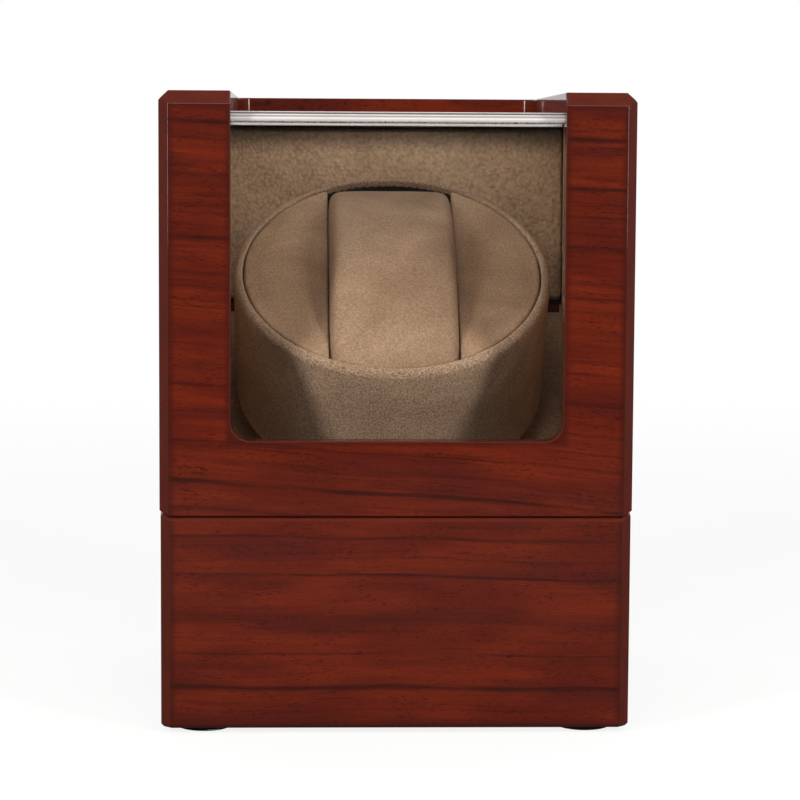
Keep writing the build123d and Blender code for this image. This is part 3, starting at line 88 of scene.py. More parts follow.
# ---- materials ----
class Look:
    """A node material whose coordinates are millimetres of the row frame."""

    def __init__(self, name):
        self.material = bpy.data.materials.new(name)
        self.material.use_nodes = True
        self.tree = self.material.node_tree
        self.tree.nodes.clear()
        self.source = self.node("TexCoord")
        place = self.source.outputs["Object"]
        self.mm = self.node("VectorMath", {"operation": "SCALE"}, Vector=place, Scale=1000.0).outputs[0]
        self.x, self.y, self.z = self.node("SeparateXYZ", Vector=self.mm).outputs

    def put(self, socket, value):
        if isinstance(value, bpy.types.NodeSocket):
            self.tree.links.new(value, socket)
        else:
            socket.default_value = value

    def node(self, kind, settings=None, **values):
        made = self.tree.nodes.new("ShaderNode" + kind)
        for key, value in (settings or {}).items():
            setattr(made, key, value)
        for key, value in values.items():
            self.put(made.inputs[key.replace("_", " ")], value)
        return made

    def math(self, operation, *values, clamp=False):
        made = self.node("Math", {"operation": operation, "use_clamp": clamp})
        for socket, value in zip(made.inputs, values):
            self.put(socket, value)
        return made.outputs[0]

    def add(self, *values):
        total = values[0]
        for value in values[1:]:
            total = self.math("ADD", total, value)
        return total

    def times(self, *values):
        total = values[0]
        for value in values[1:]:
            total = self.math("MULTIPLY", total, value)
        return total

    def vector(self, x, y, z):
        return self.node("CombineXYZ", X=x, Y=y, Z=z).outputs[0]

    def stretched(self, x, y, z, shift=0.0):
        """Millimetre coordinates divided by the size of the pattern along each axis."""
        scaled = self.node("VectorMath", {"operation": "MULTIPLY"}, Vector=self.mm).inputs
        scaled[1].default_value = (1 / x, 1 / y, 1 / z)
        if not shift:
            return scaled[0].node.outputs[0]
        moved = self.node("VectorMath", {"operation": "ADD"}, Vector=scaled[0].node.outputs[0])
        moved.inputs[1].default_value = (shift, shift * 0.7, -shift)
        return moved.outputs[0]

    def noise(self, vector, scale=1.0, detail=2.0, roughness=0.5, distortion=0.0):
        return self.node(
            "TexNoise", Vector=vector, Scale=scale, Detail=detail, Roughness=roughness, Distortion=distortion
        ).outputs[0]

    def swing(self, value, amount):
        """A 0-1 pattern turned into a multiplier around 1."""
        return self.node(
            "MapRange", Value=value, From_Min=0.25, From_Max=0.75, To_Min=1 - amount, To_Max=1 + amount
        ).outputs[0]

    def range(self, value, low, high, to_low=0.0, to_high=1.0):
        """A soft step from to_low to to_high as the value goes from low to high."""
        settings = {"interpolation_type": "SMOOTHSTEP"}
        return self.node(
            "MapRange", settings, Value=value, From_Min=low, From_Max=high, To_Min=to_low, To_Max=to_high
        ).outputs[0]

    def ramp(self, value, stops, interpolation="EASE"):
        made = self.node("ValToRGB", Fac=value)
        ramp = made.color_ramp
        ramp.interpolation = interpolation
        while len(ramp.elements) < len(stops):
            ramp.elements.new(0.5)
        for element, (place, level) in zip(ramp.elements, stops):
            element.position = place
            element.color = level if isinstance(level, tuple) else (level, level, level, 1.0)
        return made.outputs[0]

    def mix(self, amount, a, b, blend="MIX"):
        made = self.node("Mix", {"data_type": "RGBA", "blend_type": blend})
        for index, value in ((0, amount), (6, a), (7, b)):
            self.put(made.inputs[index], value)
        return made.outputs[2]

    def shade(self, colour, factor):
        """A colour times a number."""
        return self.mix(1.0, colour, self.vector(factor, factor, factor), "MULTIPLY")

    def bump(self, height, depth, normal=None):
        """Relief whose height pattern of 0-1 is this many millimetres deep."""
        made = self.node("Bump", Height=height, Distance=depth * MM, Strength=1.0)
        if normal is not None:
            self.put(made.inputs["Normal"], normal)
        return made.outputs[0]

    def flatness(self):
        """1 on faces square to an axis, 0 on chamfers."""
        normal = self.node("SeparateXYZ", Vector=self.source.outputs["Normal"]).outputs
        sides = [self.math("ABSOLUTE", part) for part in normal]
        squarest = self.math("MAXIMUM", self.math("MAXIMUM", sides[0], sides[1]), sides[2])
        return self.range(squarest, 0.8, 0.985)

    def blended(self, amount, first, second):
        """A shader that goes from the first to the second as amount goes from 0 to 1."""
        made = self.node("MixShader", Fac=amount)
        self.tree.links.new(first.outputs[0], made.inputs[1])
        self.tree.links.new(second.outputs[0], made.inputs[2])
        return made

    def surface(self, shader):
        self.tree.links.new(shader.outputs[0], self.node("OutputMaterial").inputs["Surface"])
        return self.material

    def finish(self, **values):
        return self.surface(self.node("BsdfPrincipled", **values))


# Linear colours of the stained veneer, and of its lacquered chamfers.
ORANGE = (0.134, 0.0135, 0.0030, 1.0)
RED = (0.097, 0.0088, 0.0027, 1.0)
MAUVE = (0.074, 0.0078, 0.0038, 1.0)
DARK = (0.015, 0.0024, 0.0016, 1.0)
EDGE_BROWN = (0.095, 0.0122, 0.0052, 1.0)

MOST_STOPS = 30  # a colour ramp holds 32


def wood(name, along, across, bands, seed, slope, border, figure=1.0):
    """Red-brown lacquered veneer whose fibres run along one axis. bands are dark growth lines, as (place, width
    above, width below, darkness) across it. slope(look, rise) tilts them, border(look) is the distance in from
    the board's edge, and figure is the strength of the finer grain."""
    look = Look(name)
    axes = {"x": look.x, "y": look.y, "z": look.z}
    run, rise = axes[along], axes[across]
    deep = axes[({"x", "y", "z"} - {along, across}).pop()]

    def laid(height, length, width, depth, shift):
        """Coordinates of a pattern that is length by width by depth millimetres."""
        parts = [look.math("DIVIDE", value, size) for value, size in ((run, length), (height, width), (deep, depth))]
        return look.vector(parts[0], parts[1], look.add(parts[2], seed + shift))

    def pattern(length, width, shift=0.0):
        return laid(line, length, width, width * 4, shift)

    def centred(value, size):
        return look.times(look.math("SUBTRACT", value, 0.5), size)

    wander = look.noise(laid(rise, 55.0, 34.0, 60.0, 0.0), detail=1.0)
    ripple = look.noise(laid(rise, 11.0, 5.0, 20.0, 3.1), detail=2.0)
    line = look.add(rise, look.times(run, slope(look, rise)), centred(wander, 3.4), centred(ripple, 0.8))

    blotch = look.noise(pattern(32.0, 9.0), detail=2.0)
    ring = look.noise(pattern(90.0, 2.4, 5.0), detail=3.0, roughness=0.62)
    streak = look.noise(pattern(16.0, 0.5, 9.0), detail=3.0, roughness=0.7)
    pores = look.noise(pattern(1.4, 0.24, 13.0), detail=1.0)
    pore_patch = look.noise(pattern(14.0, 3.5, 17.0), detail=2.0)
    dashes = look.noise(pattern(3.6, 0.22, 21.0), detail=1.5)

    cloud = look.noise(pattern(45.0, 6.5, 29.0), detail=2.0)
    colour = look.mix(look.ramp(blotch, [(0.36, 0.0), (0.62, 1.0)]), RED, ORANGE)
    colour = look.mix(look.times(look.ramp(cloud, [(0.48, 0.0), (0.7, 1.0)]), 0.75), colour, MAUVE)
    colour = look.shade(colour, look.swing(ring, 0.22 * figure))
    colour = look.shade(colour, look.swing(streak, 0.2 * figure))

    low = min(place - below for place, above, below, darkness in bands) - 2
    high = max(place + above for place, above, below, darkness in bands) + 2
    stops = []
    for place, above, below, darkness in sorted(bands):
        levels = ((place - below, 0.0), (place, darkness), (place + above, 0.0))
        stops += [((at - low) / (high - low), level) for at, level in levels]
    within = look.math("DIVIDE", look.math("SUBTRACT", line, low), high - low)
    groups = [stops[i : i + MOST_STOPS] for i in range(0, len(stops), MOST_STOPS)]
    band = look.add(*(look.ramp(within, group) for group in groups))
    fade = look.range(look.noise(pattern(20.0, 1.6, 33.0), detail=2.0), 0.3, 0.6, 0.5, 1.35)
    band = look.math("MINIMUM", look.times(band, fade), 0.92)
    colour = look.mix(band, colour, DARK)
    fine_ring = look.noise(pattern(34.0, 0.95, 37.0), detail=2.0, roughness=0.6)
    minor = look.math("MAXIMUM", look.range(ring, 0.59, 0.68), look.times(look.range(fine_ring, 0.58, 0.68), 0.9))
    colour = look.mix(look.times(minor, 0.38 * figure), colour, DARK)

    pore = look.times(look.range(pores, 0.58, 0.66), look.range(pore_patch, 0.42, 0.6, 0.3, 0.9))
    dash = look.times(look.range(dashes, 0.66, 0.72), 0.6)
    pit = look.math("MAXIMUM", pore, dash, clamp=True)
    colour = look.mix(look.times(pit, 0.7), colour, DARK)
    toned = look.range(border(look), 0.0, 2.2, 0.75, 0.0)
    colour = look.mix(toned, colour, look.shade(MAUVE, 0.62))

    flat = look.flatness()
    edge = look.shade(EDGE_BROWN, look.swing(look.noise(look.stretched(7.0, 7.0, 7.0, seed), detail=3.0), 0.12))
    colour = look.mix(flat, edge, colour)
    relief = look.bump(look.add(look.times(pit, -0.5), look.times(ring, 0.3)), 0.02)
    peel = look.bump(look.noise(look.stretched(1.7, 1.7, 1.7, seed), detail=1.0), 0.006)
    return look.finish(
        Base_Color=colour,
        Roughness=look.range(streak, 0.2, 0.8, 0.5, 0.66),
        Specular_IOR_Level=0.06,
        Normal=relief,
        Coat_Weight=0.8,
        Coat_Roughness=0.07,
        Coat_IOR=1.5,
        Coat_Normal=peel,
    )


def even(amount):
    """Growth lines that all fall by the same amount."""
    return lambda look, rise: amount


def lid_slope(look, rise):
    """The growth lines of the lid's front fall to the right, and more steeply in the rail under the window."""
    return look.range(rise, 66.0, 104.0, 0.078, 0.034)


WINDOW_LAP = 5.0  # the sheet reaches this far past the edge of its opening
CHAMFER = 2.4
FRONT_CHAMFER = 3.3  # along the lid's upper front edge
top_z, front_y = body_high.z / MM, body_low.y / MM
window_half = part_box("window")[1].x / MM - WINDOW_LAP
sill_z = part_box("window")[0].z / MM + WINDOW_LAP


# Distances in from the edges of a board, in millimetres. The stain is darker there.
def lid_border(look):
    side = look.math("ABSOLUTE", look.x)
    outer = look.math("SUBTRACT", half_width / MM - CHAMFER, side)
    upper = look.math("SUBTRACT", top_z - FRONT_CHAMFER, look.z)
    opening = look.math("MAXIMUM", look.math("SUBTRACT", side, window_half), look.math("SUBTRACT", sill_z, look.z))
    return look.math("MINIMUM", look.math("MINIMUM", outer, upper), opening)


def base_border(look):
    outer = look.math("SUBTRACT", half_width / MM - CHAMFER - 0.25, look.math("ABSOLUTE", look.x))
    return look.math("MINIMUM", outer, look.math("SUBTRACT", look.z, wood_low / MM + 0.8))


def side_border(look):
    middle = (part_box("lid_left")[0].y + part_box("lid_left")[1].y) / 2 / MM
    reach = look.math("ABSOLUTE", look.math("SUBTRACT", look.y, middle))
    outer = look.math("SUBTRACT", half_width / MM - CHAMFER, reach)
    return look.math("MINIMUM", outer, look.math("SUBTRACT", top_z - CHAMFER, look.z))


def top_border(look):
    outer = look.math("SUBTRACT", half_width / MM - CHAMFER, look.math("ABSOLUTE", look.x))
    return look.math("MINIMUM", outer, look.math("SUBTRACT", look.y, front_y + FRONT_CHAMFER))


# Dark growth lines, their heights read from the photo where they show.
LID_BANDS = [
    (153.0, 1.0, 1.5, 0.6),
    (149.2, 0.3, 0.5, 0.3),
    (140.3, 1.0, 1.3, 0.62),
    (133.0, 0.6, 0.9, 0.42),
    (128.5, 0.3, 0.4, 0.25),
    (125.2, 0.9, 1.6, 0.55),
    (116.3, 0.7, 0.8, 0.36),
    (112.7, 0.6, 0.9, 0.4),
    (109.4, 0.4, 0.5, 0.38),
    (104.1, 0.3, 0.5, 0.42),
    (93.6, 0.4, 0.6, 0.36),
    (87.2, 0.9, 1.1, 0.45),
    (79.8, 0.3, 0.6, 0.3),
    (71.6, 0.3, 0.5, 0.38),
    (66.6, 0.3, 0.4, 0.3),
    (61.3, 0.8, 1.2, 0.62),
    (54.4, 0.5, 0.7, 0.4),
]
BASE_BANDS = [
    (50.6, 0.5, 0.8, 0.45),
    (45.4, 0.3, 0.5, 0.25),
    (40.9, 0.4, 0.9, 0.6),
    (30.0, 3.5, 4.5, 0.2),
    (20.4, 0.5, 0.6, 0.34),
    (11.8, 1.1, 1.5, 0.6),
    (6.0, 0.3, 0.5, 0.25),
]
SIDE_LINES = (8, 19.5, 27, 41, 52.5, 60, 74, 83, 96.5, 108, 117, 131, 139.5, 152)
TOP_LINES = (-58, -47, -39.5, -24, -13, -4.5, 9, 21, 30, 42.5, 50)
SIDE_BANDS = [(z, 0.7 + 0.4 * (i % 3), 0.9, 0.3 + 0.12 * (i % 4)) for i, z in enumerate(SIDE_LINES)]
FLAT_BANDS = [(y, 0.8 + 0.3 * (i % 3), 1.0, 0.32 + 0.1 * (i % 4)) for i, y in enumerate(TOP_LINES)]

wood_lid = wood("lacquer_lid_front", "x", "z", LID_BANDS, 0.0, lid_slope, lid_border)
wood_base = wood("lacquer_base_front", "x", "z", BASE_BANDS, 2.7, even(0.012), base_border, 0.62)
wood_sides = wood("lacquer_sides", "y", "z", SIDE_BANDS, 5.3, even(0.025), side_border)
wood_top = wood("lacquer_top", "x", "y", FLAT_BANDS, 8.9, even(0.03), top_border)
wood_back = wood("lacquer_back", "x", "z", SIDE_BANDS, 12.4, even(-0.02), base_border)


def cloth(name, lit, dark, grain, contrast, relief, pebble=0.0, sheen=0.3, nap=0.1, drift=(26.0,) * 3, shade=None):
    """Napped cloth. grain is the size of its speckle in millimetres, pebble that of an embossed grain, nap the
    strength of its stroked patches and drift their size. shade is the heights where a painted shadow darkens it."""
    look = Look(name)
    speck = look.noise(look.mm, 1 / grain, detail=2.0, roughness=0.65)
    fibre = look.noise(look.mm, 3.1 / grain, detail=1.0)
    stroke = look.noise(look.stretched(*drift, 4.0), detail=3.0, roughness=0.55, distortion=0.6)
    colour = look.mix(look.range(stroke, 0.3, 0.72), dark, lit)
    colour = look.shade(colour, look.swing(speck, contrast))
    colour = look.shade(colour, look.swing(stroke, nap))
    height = look.add(look.times(speck, 0.75), look.times(fibre, 0.35))
    normal = look.bump(height, relief)
    if pebble:
        warped = look.node("VectorMath", {"operation": "ADD"}, Vector=look.mm)
        bent = look.node("TexNoise", Vector=look.mm, Scale=0.7 / pebble, Detail=2.0)
        look.put(warped.inputs[1], bent.outputs["Color"])
        settings = {"feature": "SMOOTH_F1"}
        cells = look.node(
            "TexVoronoi", settings, Vector=warped.outputs[0], Scale=1 / pebble, Smoothness=0.35, Randomness=1.0
        ).outputs[0]
        lumps = look.noise(look.mm, 0.8 / pebble, detail=3.0, roughness=0.6, distortion=0.8)
        grainy = look.math("SUBTRACT", look.times(lumps, 1.5), look.times(cells, 0.8))
        normal = look.bump(grainy, pebble * 0.26, normal)
        # painted light and shade on the pebbled relief: lighter on its lumps, darker in its hollows
        colour = look.shade(colour, look.range(grainy, -0.2, 0.75, 0.74, 1.18))
    if shade:
        # painted shadow: darker towards the top over the shade heights
        colour = look.shade(colour, look.range(look.z, shade[0], shade[1], 1.0, 0.3))
    return look.finish(
        Base_Color=colour,
        Roughness=look.range(speck, 0.2, 0.8, 0.78, 0.96),
        Specular_IOR_Level=0.2,
        Normal=normal,
        Sheen_Weight=sheen,
        Sheen_Roughness=0.45,
        Sheen_Tint=srgb(214, 186, 160),
    )


velvet = cloth("velvet_beige", srgb(180, 146, 117), srgb(157, 123, 95), 0.55, 0.34, 0.26)
velvet_wrap = cloth(
    "velvet_drum_wrap", srgb(182, 149, 122), srgb(162, 129, 103), 0.42, 0.85, 0.6, sheen=0.55, drift=(30.0, 18.0, 18.0)
)
# the pads' velvet made a little darker on the cushion: painted shade
velvet_cushion_painted_shade = cloth("velvet_cushion_painted_shade", srgb(174, 142, 115), srgb(152, 120, 94), 0.55, 0.34, 0.26)
LINING_SHADE = (146.5, 153.0)  # heights over which painted shadow darkens the lid's lining
suede = cloth(
    "suede_pebbled", srgb(190, 158, 128), srgb(173, 141, 110), 0.35, 0.14, 0.1, 1.15, nap=0.08, shade=LINING_SHADE
)
deck_suede = cloth("suede_deck", srgb(196, 160, 126), srgb(176, 141, 108), 0.35, 0.1, 0.07, pebble=0.8)
flock = cloth("flock_beige", srgb(202, 164, 128), srgb(182, 146, 111), 0.3, 0.12, 0.08)
felt = cloth("felt_black", srgb(34, 31, 30), srgb(24, 22, 22), 0.5, 0.3, 0.16, sheen=0.2)
foam = cloth("foam_cream", srgb(222, 214, 190), srgb(205, 195, 168), 0.7, 0.12, 0.3, sheen=0.0)


def fibreboard():
    look = Look("fibreboard_raw")
    chips = look.noise(look.stretched(1.6, 0.7, 1.1, 2.0), detail=4.0, roughness=0.7)
    dust = look.noise(look.mm, 4.0, detail=2.0)
    colour = look.mix(look.range(chips, 0.35, 0.68), srgb(150, 118, 84), srgb(196, 164, 124))
    colour = look.shade(colour, look.swing(dust, 0.08))
    return look.finish(
        Base_Color=colour,
        Roughness=look.range(chips, 0.2, 0.8, 0.75, 0.95),
        Normal=look.bump(chips, 0.08),
    )


def plastic(name, light, shadow, rough, texture, depth, subsurface=0.0):
    """Moulded plastic with faint flow marks and an etched texture of this size and depth in millimetres."""
    look = Look(name)
    etched = look.noise(look.mm, 1 / texture, detail=2.0, roughness=0.6)
    flow = look.noise(look.stretched(14.0, 14.0, 9.0, 6.0), detail=3.0, distortion=1.2)
    rubbed = look.noise(look.stretched(5.0, 5.0, 5.0, 11.0), detail=4.0, roughness=0.7)
    colour = look.mix(look.range(flow, 0.3, 0.7), shadow, light)
    colour = look.shade(colour, look.swing(etched, 0.06))
    return look.finish(
        Base_Color=colour,
        Roughness=look.range(rubbed, 0.25, 0.75, rough - 0.07, rough + 0.09),
        Normal=look.bump(etched, depth),
        Subsurface_Weight=subsurface,
        Subsurface_Scale=0.002,
    )


def metal(name, light, shadow, rough):
    """Plated or turned metal with fine lines and slight tarnish."""
    look = Look(name)
    lines = look.noise(look.stretched(0.12, 0.12, 0.12, 3.0), detail=3.0, roughness=0.7)
    tarnish = look.noise(look.stretched(4.0, 4.0, 4.0, 8.0), detail=4.0, roughness=0.65)
    colour = look.mix(look.range(tarnish, 0.3, 0.75), light, shadow)
    return look.finish(
        Base_Color=look.shade(colour, look.swing(lines, 0.08)),
        Metallic=1.0,
        Roughness=look.add(look.range(tarnish, 0.25, 0.8, rough, rough + 0.12), look.times(lines, 0.08)),
        Normal=look.bump(lines, 0.012),
    )


def circuit_board():
    look = Look("circuit_board_green")
    tracks = look.node(
        "TexBrick",
        {"offset": 0.4, "squash": 0.7},
        Vector=look.mm,
        Scale=0.35,
        Mortar_Size=0.035,
        Mortar_Smooth=0.3,
        Brick_Width=0.9,
        Row_Height=0.5,
    )
    patches = look.noise(look.stretched(5.0, 5.0, 5.0), detail=1.0)
    copper = look.math("MULTIPLY", tracks.outputs["Fac"], look.range(patches, 0.45, 0.5))
    weave = look.noise(look.stretched(0.5, 0.5, 0.5), detail=1.0)
    colour = look.mix(look.times(copper, 0.6), srgb(18, 74, 40), srgb(66, 128, 72))
    return look.finish(
        Base_Color=look.shade(colour, look.swing(weave, 0.07)),
        Roughness=look.range(weave, 0.2, 0.8, 0.3, 0.42),
        Normal=look.bump(copper, 0.03),
        Coat_Weight=0.4,
        Coat_Roughness=0.15,
    )


def lead_insulation():
    look = Look("lead_insulation_pvc")
    island = look.node("NewGeometry").outputs["Random Per Island"]
    colour = look.mix(look.math("GREATER_THAN", island, 0.5), srgb(150, 26, 22), srgb(28, 27, 28))
    worn = look.noise(look.stretched(3.0, 3.0, 3.0), detail=3.0)
    return look.finish(
        Base_Color=look.shade(colour, look.swing(worn, 0.12)),
        Roughness=look.range(worn, 0.25, 0.75, 0.38, 0.55),
        Normal=look.bump(worn, 0.02),
    )


# Painted highlights on the sheet's bend, their brightness from its top downwards in parts of BEND_HEIGHT millimetres.
BEND_HEIGHT = 4.0
BEND_HIGHLIGHTS = [
    (0.0, 0.1),
    (0.03, 0.95),
    (0.07, 0.12),
    (0.15, 0.12),
    (0.2, 0.95),
    (0.27, 0.4),
    (0.34, 0.45),
    (0.4, 0.95),
    (0.5, 0.62),
    (0.6, 0.4),
    (0.66, 0.0),
]


def acrylic():
    """Polished clear sheet with a few specks of dust and painted highlights, pale lines along its bend. Lamps and
    bounced light pass straight through it; the eye sees it bend light."""
    look = Look("clear_acrylic_polished")
    haze = look.noise(look.stretched(30.0, 30.0, 30.0), detail=3.0)
    glass = look.node(
        "BsdfPrincipled",
        Base_Color=(0.985, 0.99, 0.992, 1.0),
        Roughness=look.range(haze, 0.4, 0.8, 0.0, 0.02),
        IOR=1.49,
        Transmission_Weight=1.0,
    )
    dots = look.node("TexVoronoi", {"feature": "F1"}, Vector=look.mm, Scale=0.16, Randomness=1.0)
    rarity = look.node("SeparateColor", Color=dots.outputs["Color"]).outputs[0]
    small = look.math("LESS_THAN", dots.outputs["Distance"], look.times(rarity, 0.022))
    dust = look.times(small, look.math("GREATER_THAN", rarity, 0.45))
    speck = look.node("BsdfDiffuse", Color=srgb(235, 230, 222), Roughness=0.5)
    dusty = look.blended(look.times(dust, 0.5), glass, speck)

    top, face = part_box("window")[1].z / MM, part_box("window")[0].y / MM
    below = look.math("DIVIDE", look.math("SUBTRACT", top, look.z), BEND_HEIGHT)
    lines = look.ramp(below, BEND_HIGHLIGHTS, "LINEAR")
    # painted highlight: pale diffuse lines across the front of the bend
    painted_highlight = look.times(lines, look.range(look.y, face + 3.5, face + 6.0, 1.0, 0.0))
    pale = look.mix(look.range(haze, 0.3, 0.7), srgb(228, 220, 217), srgb(242, 236, 233))
    painted_bands = look.blended(painted_highlight, dusty, look.node("BsdfDiffuse", Color=pale, Roughness=0.2))

    path = look.node("LightPath").outputs
    through = look.math("MAXIMUM", path["Is Shadow Ray"], path["Is Diffuse Ray"])
    clear = look.node("BsdfTransparent", Color=(0.93, 0.94, 0.94, 1.0))
    return look.surface(look.blended(through, painted_bands, clear))


# Materials by the slot of the record, and the boards that show their own veneer.
BY_SLOT = {
    "bare_board": fibreboard(),
    "felt": felt,
    "flock": flock,
    "suede": deck_suede,
    "velvet": velvet,
    "foam": foam,
    "clear_acrylic": acrylic(),
    "moulded_plastic": plastic("plastic_moulded_black", srgb(46, 46, 47), srgb(34, 34, 35), 0.5, 0.35, 0.03),
    "gear_plastic": plastic("acetal_natural", srgb(232, 229, 218), srgb(214, 210, 196), 0.34, 0.6, 0.008, 0.25),
    "black_plastic": plastic("plastic_satin_black", srgb(30, 30, 31), srgb(21, 21, 22), 0.38, 0.28, 0.018),
    "steel": metal("steel_zinc_plated", srgb(206, 208, 208), srgb(172, 174, 170), 0.26),
    "brass": metal("brass_satin", srgb(214, 178, 104), srgb(178, 138, 72), 0.28),
    "plated_contact": metal("nickel_plated", srgb(222, 220, 214), srgb(196, 192, 184), 0.16),
    "circuit_board": circuit_board(),
    "lead_insulation": lead_insulation(),
}
BY_NODE = {
    "lid_front": wood_lid,
    "base_front": wood_base,
    "lid_left": wood_sides,
    "lid_right": wood_sides,
    "base_left": wood_sides,
    "base_right": wood_sides,
    "lid_top": wood_top,
    "lid_back": wood_back,
    "base_back": wood_back,
}
for name, thing in frame["nodes"].items():
    slots = thing.data.materials
    slots[0] = BY_NODE.get(name) or BY_SLOT[slots[0].name]


# ---- soft pieces ----
def piece(name, mesh, material, body, slot, *stands_for):
    """Adds a mesh, in metres of the row frame, as a shown piece in place of the CAD nodes it stands for."""
    made = bpy.data.objects.new(name, mesh)
    scene.collection.objects.link(made)
    mesh.materials.clear()
    mesh.materials.append(material)
    for face in mesh.polygons:
        face.use_smooth = True
    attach(made, body)
    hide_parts(*stands_for)
    return made


def evaluated(thing):
    """A new mesh with the object's modifiers applied."""
    graph = bpy.context.evaluated_depsgraph_get()
    return bpy.data.meshes.new_from_object(thing.evaluated_get(graph))


def loose(name, mesh):
    """A working object, for its modifiers only."""
    made = bpy.data.objects.new(name + "_form", mesh)
    scene.collection.objects.link(made)
    return made


def evened(form, voxel, rounds, factor=0.5):
    """Gives a closed mesh an even, slightly rounded surface."""
    form.modifiers.new("Even", "REMESH").voxel_size = voxel * MM
    smooth = form.modifiers.new("Round", "SMOOTH")
    smooth.iterations, smooth.factor = rounds, factor
    form.data = evaluated(form)
    form.modifiers.clear()
    return form


def baked(mesh, name):
    """The mesh data of a finished bmesh."""
    data = bpy.data.meshes.new(name)
    mesh.to_mesh(data)
    mesh.free()
    return data


def join(mesh, a, b):
    """A closed belt of faces between two rings of points."""
    for i in range(len(a)):
        j = (i + 1) % len(a)
        mesh.faces.new((a[i], a[j], b[j], b[i]))


def quarter(steps, first=0):
    """Angles of a quarter turn in equal steps."""
    return [math.pi / 2 * i / steps for i in range(first, steps + 1)]


def stacked(outline, low, high, edge, foot=0.6):
    """A closed mesh standing on the drum's axis: outline(d) gives its (x, s) points d millimetres in from the edge,
    its upper rim is rounded by edge millimetres and its lower one cut by foot."""
    levels = [(foot, low), (0.0, low + foot)]
    levels += [(edge * (1 - math.cos(turn)), high - edge + edge * math.sin(turn)) for turn in quarter(5)]
    mesh = bmesh.new()
    rings = [[mesh.verts.new(at_drum(x, s, h)) for x, s in outline(d)] for d, h in levels]
    for a, b in zip(rings, rings[1:]):
        join(mesh, a, b)
    mesh.faces.new(rings[0])
    mesh.faces.new(rings[-1])
    bmesh.ops.triangulate(mesh, faces=mesh.faces)
    bmesh.ops.recalc_face_normals(mesh, faces=mesh.faces)
    return baked(mesh, "stack")


AIR_PRESSURE = 4.0
AIR_FRAMES = 20


def inflate(form):
    """Runs a short cloth simulation with air pressure and no gravity, and gives where each vertex ends."""
    soft = form.modifiers.new("Air", "CLOTH")
    fabric = soft.settings
    fabric.quality = 6
    fabric.mass = 0.25
    fabric.use_pressure = True
    fabric.uniform_pressure_force = AIR_PRESSURE
    fabric.effector_weights.gravity = 0.0
    fabric.tension_stiffness = fabric.compression_stiffness = 18.0
    fabric.shear_stiffness = 8.0
    fabric.bending_stiffness = 0.6
    soft.collision_settings.use_collision = False
    for index in range(1, AIR_FRAMES + 1):
        scene.frame_set(index)
    places = [v.co.copy() for v in evaluated(form).vertices]
    form.modifiers.clear()
    scene.frame_set(1)
    return places


def stuffed(name, form, material, body, slot, stands_for, cap, freedom, start=0.0, half=None):
    """A padded piece: an even closed form, moved along its normals by start millimetres, then blown up by cloth
    simulation. freedom(x, s, h) gives how much of its swelling a point keeps, cap is the furthest it may move, in
    millimetres, and half, in metres, is the furthest it may reach to either side."""
    mesh = form.data
    for v, normal in zip(mesh.vertices, [n.vector.copy() for n in mesh.vertex_normals]):
        v.co += normal * start * MM
    before = [v.co.copy() for v in mesh.vertices]
    after = inflate(form)
    for v, old, new in zip(mesh.vertices, before, after):
        move = new - old
        reach = min(move.length, cap * MM) if math.isfinite(move.length) else 0.0
        place = old + (move.normalized() * reach if reach else Vector()) * freedom(*in_drum(old))
        if half:
            place.x = max(-half, min(half, place.x))
        v.co = place
    made = piece(name, mesh.copy(), material, body, slot, stands_for)
    bpy.data.objects.remove(form)
    fine = made.modifiers.new("Fine", "SUBSURF")
    fine.levels = fine.render_levels = 1


drum_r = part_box("drum_cover")[1].x / MM
cup_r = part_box("drum_cup")[1].x / MM
pad_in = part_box("drum_pad_right")[0].x / MM
pad_low, pad_high = span("drum_pad_right", drum_up)
pad_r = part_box("drum_pad_right")[1].x / MM
drum_low, drum_high = span("drum_cover", drum_up)


WRAP_TURNS = 420
WRAP_LIP = 0.45  # radius of the wrap's inner edge, beside the pads
WRAP_ROLL = 2.4  # height of its rolled front rim
WRAP_RIM = 4.0  # the unevenness of the rim fades over this height


def wrap_profile():
    """Radius and height round the wrap's section: the lip, the rolled rim, the wall, the tail and the inside."""
    inner, glued = pad_r + 0.4, cup_r + 0.08
    crest, shoulder = inner + WRAP_LIP, drum_high - WRAP_ROLL
    lip = [(crest - math.cos(t) * WRAP_LIP, drum_high - WRAP_LIP + math.sin(t) * WRAP_LIP) for t in quarter(4)]
    roll = [(crest + math.sin(t) * (drum_r - crest), shoulder + math.cos(t) * WRAP_ROLL) for t in quarter(12, 1)]
    wall = [(drum_r, shoulder - (shoulder - drum_low - 0.6) * i / 22) for i in range(1, 23)]
    tail = [(drum_r - 0.15, drum_low + 0.2), (drum_r - 0.45, drum_low), (glued, drum_low), (glued, drum_low + 3)]
    inside = [(glued, drum_high - 1.9), (inner, drum_high - 1.9)]
    return [(inner, drum_high - 1.8)] + lip + roll + wall + tail + inside


def handmade(r, h, angle):
    """The wrap's radius and height made slightly uneven, with a glued joint along the rear."""
    x, s = math.cos(angle), math.sin(angle)
    soft = noise.fractal(Vector((x * 3.2, s * 3.2, h * 0.09)), 0.6, 2.0, 3)
    fine = noise.noise(Vector((x * 16, s * 16, h * 0.3)))
    rim = max(0.0, 1 - (drum_high - h) / WRAP_RIM)
    from_joint = abs(angle - math.pi / 2) * drum_r
    joint_dip = 0.28 * math.exp(-((from_joint / 0.5) ** 2)) * (1 - rim)
    lift = rim * 0.1 * noise.noise(Vector((x * 7, s * 7, 3.0)))
    return min(r + 0.1 * soft + 0.035 * fine - joint_dip, drum_r + 0.12), h + lift


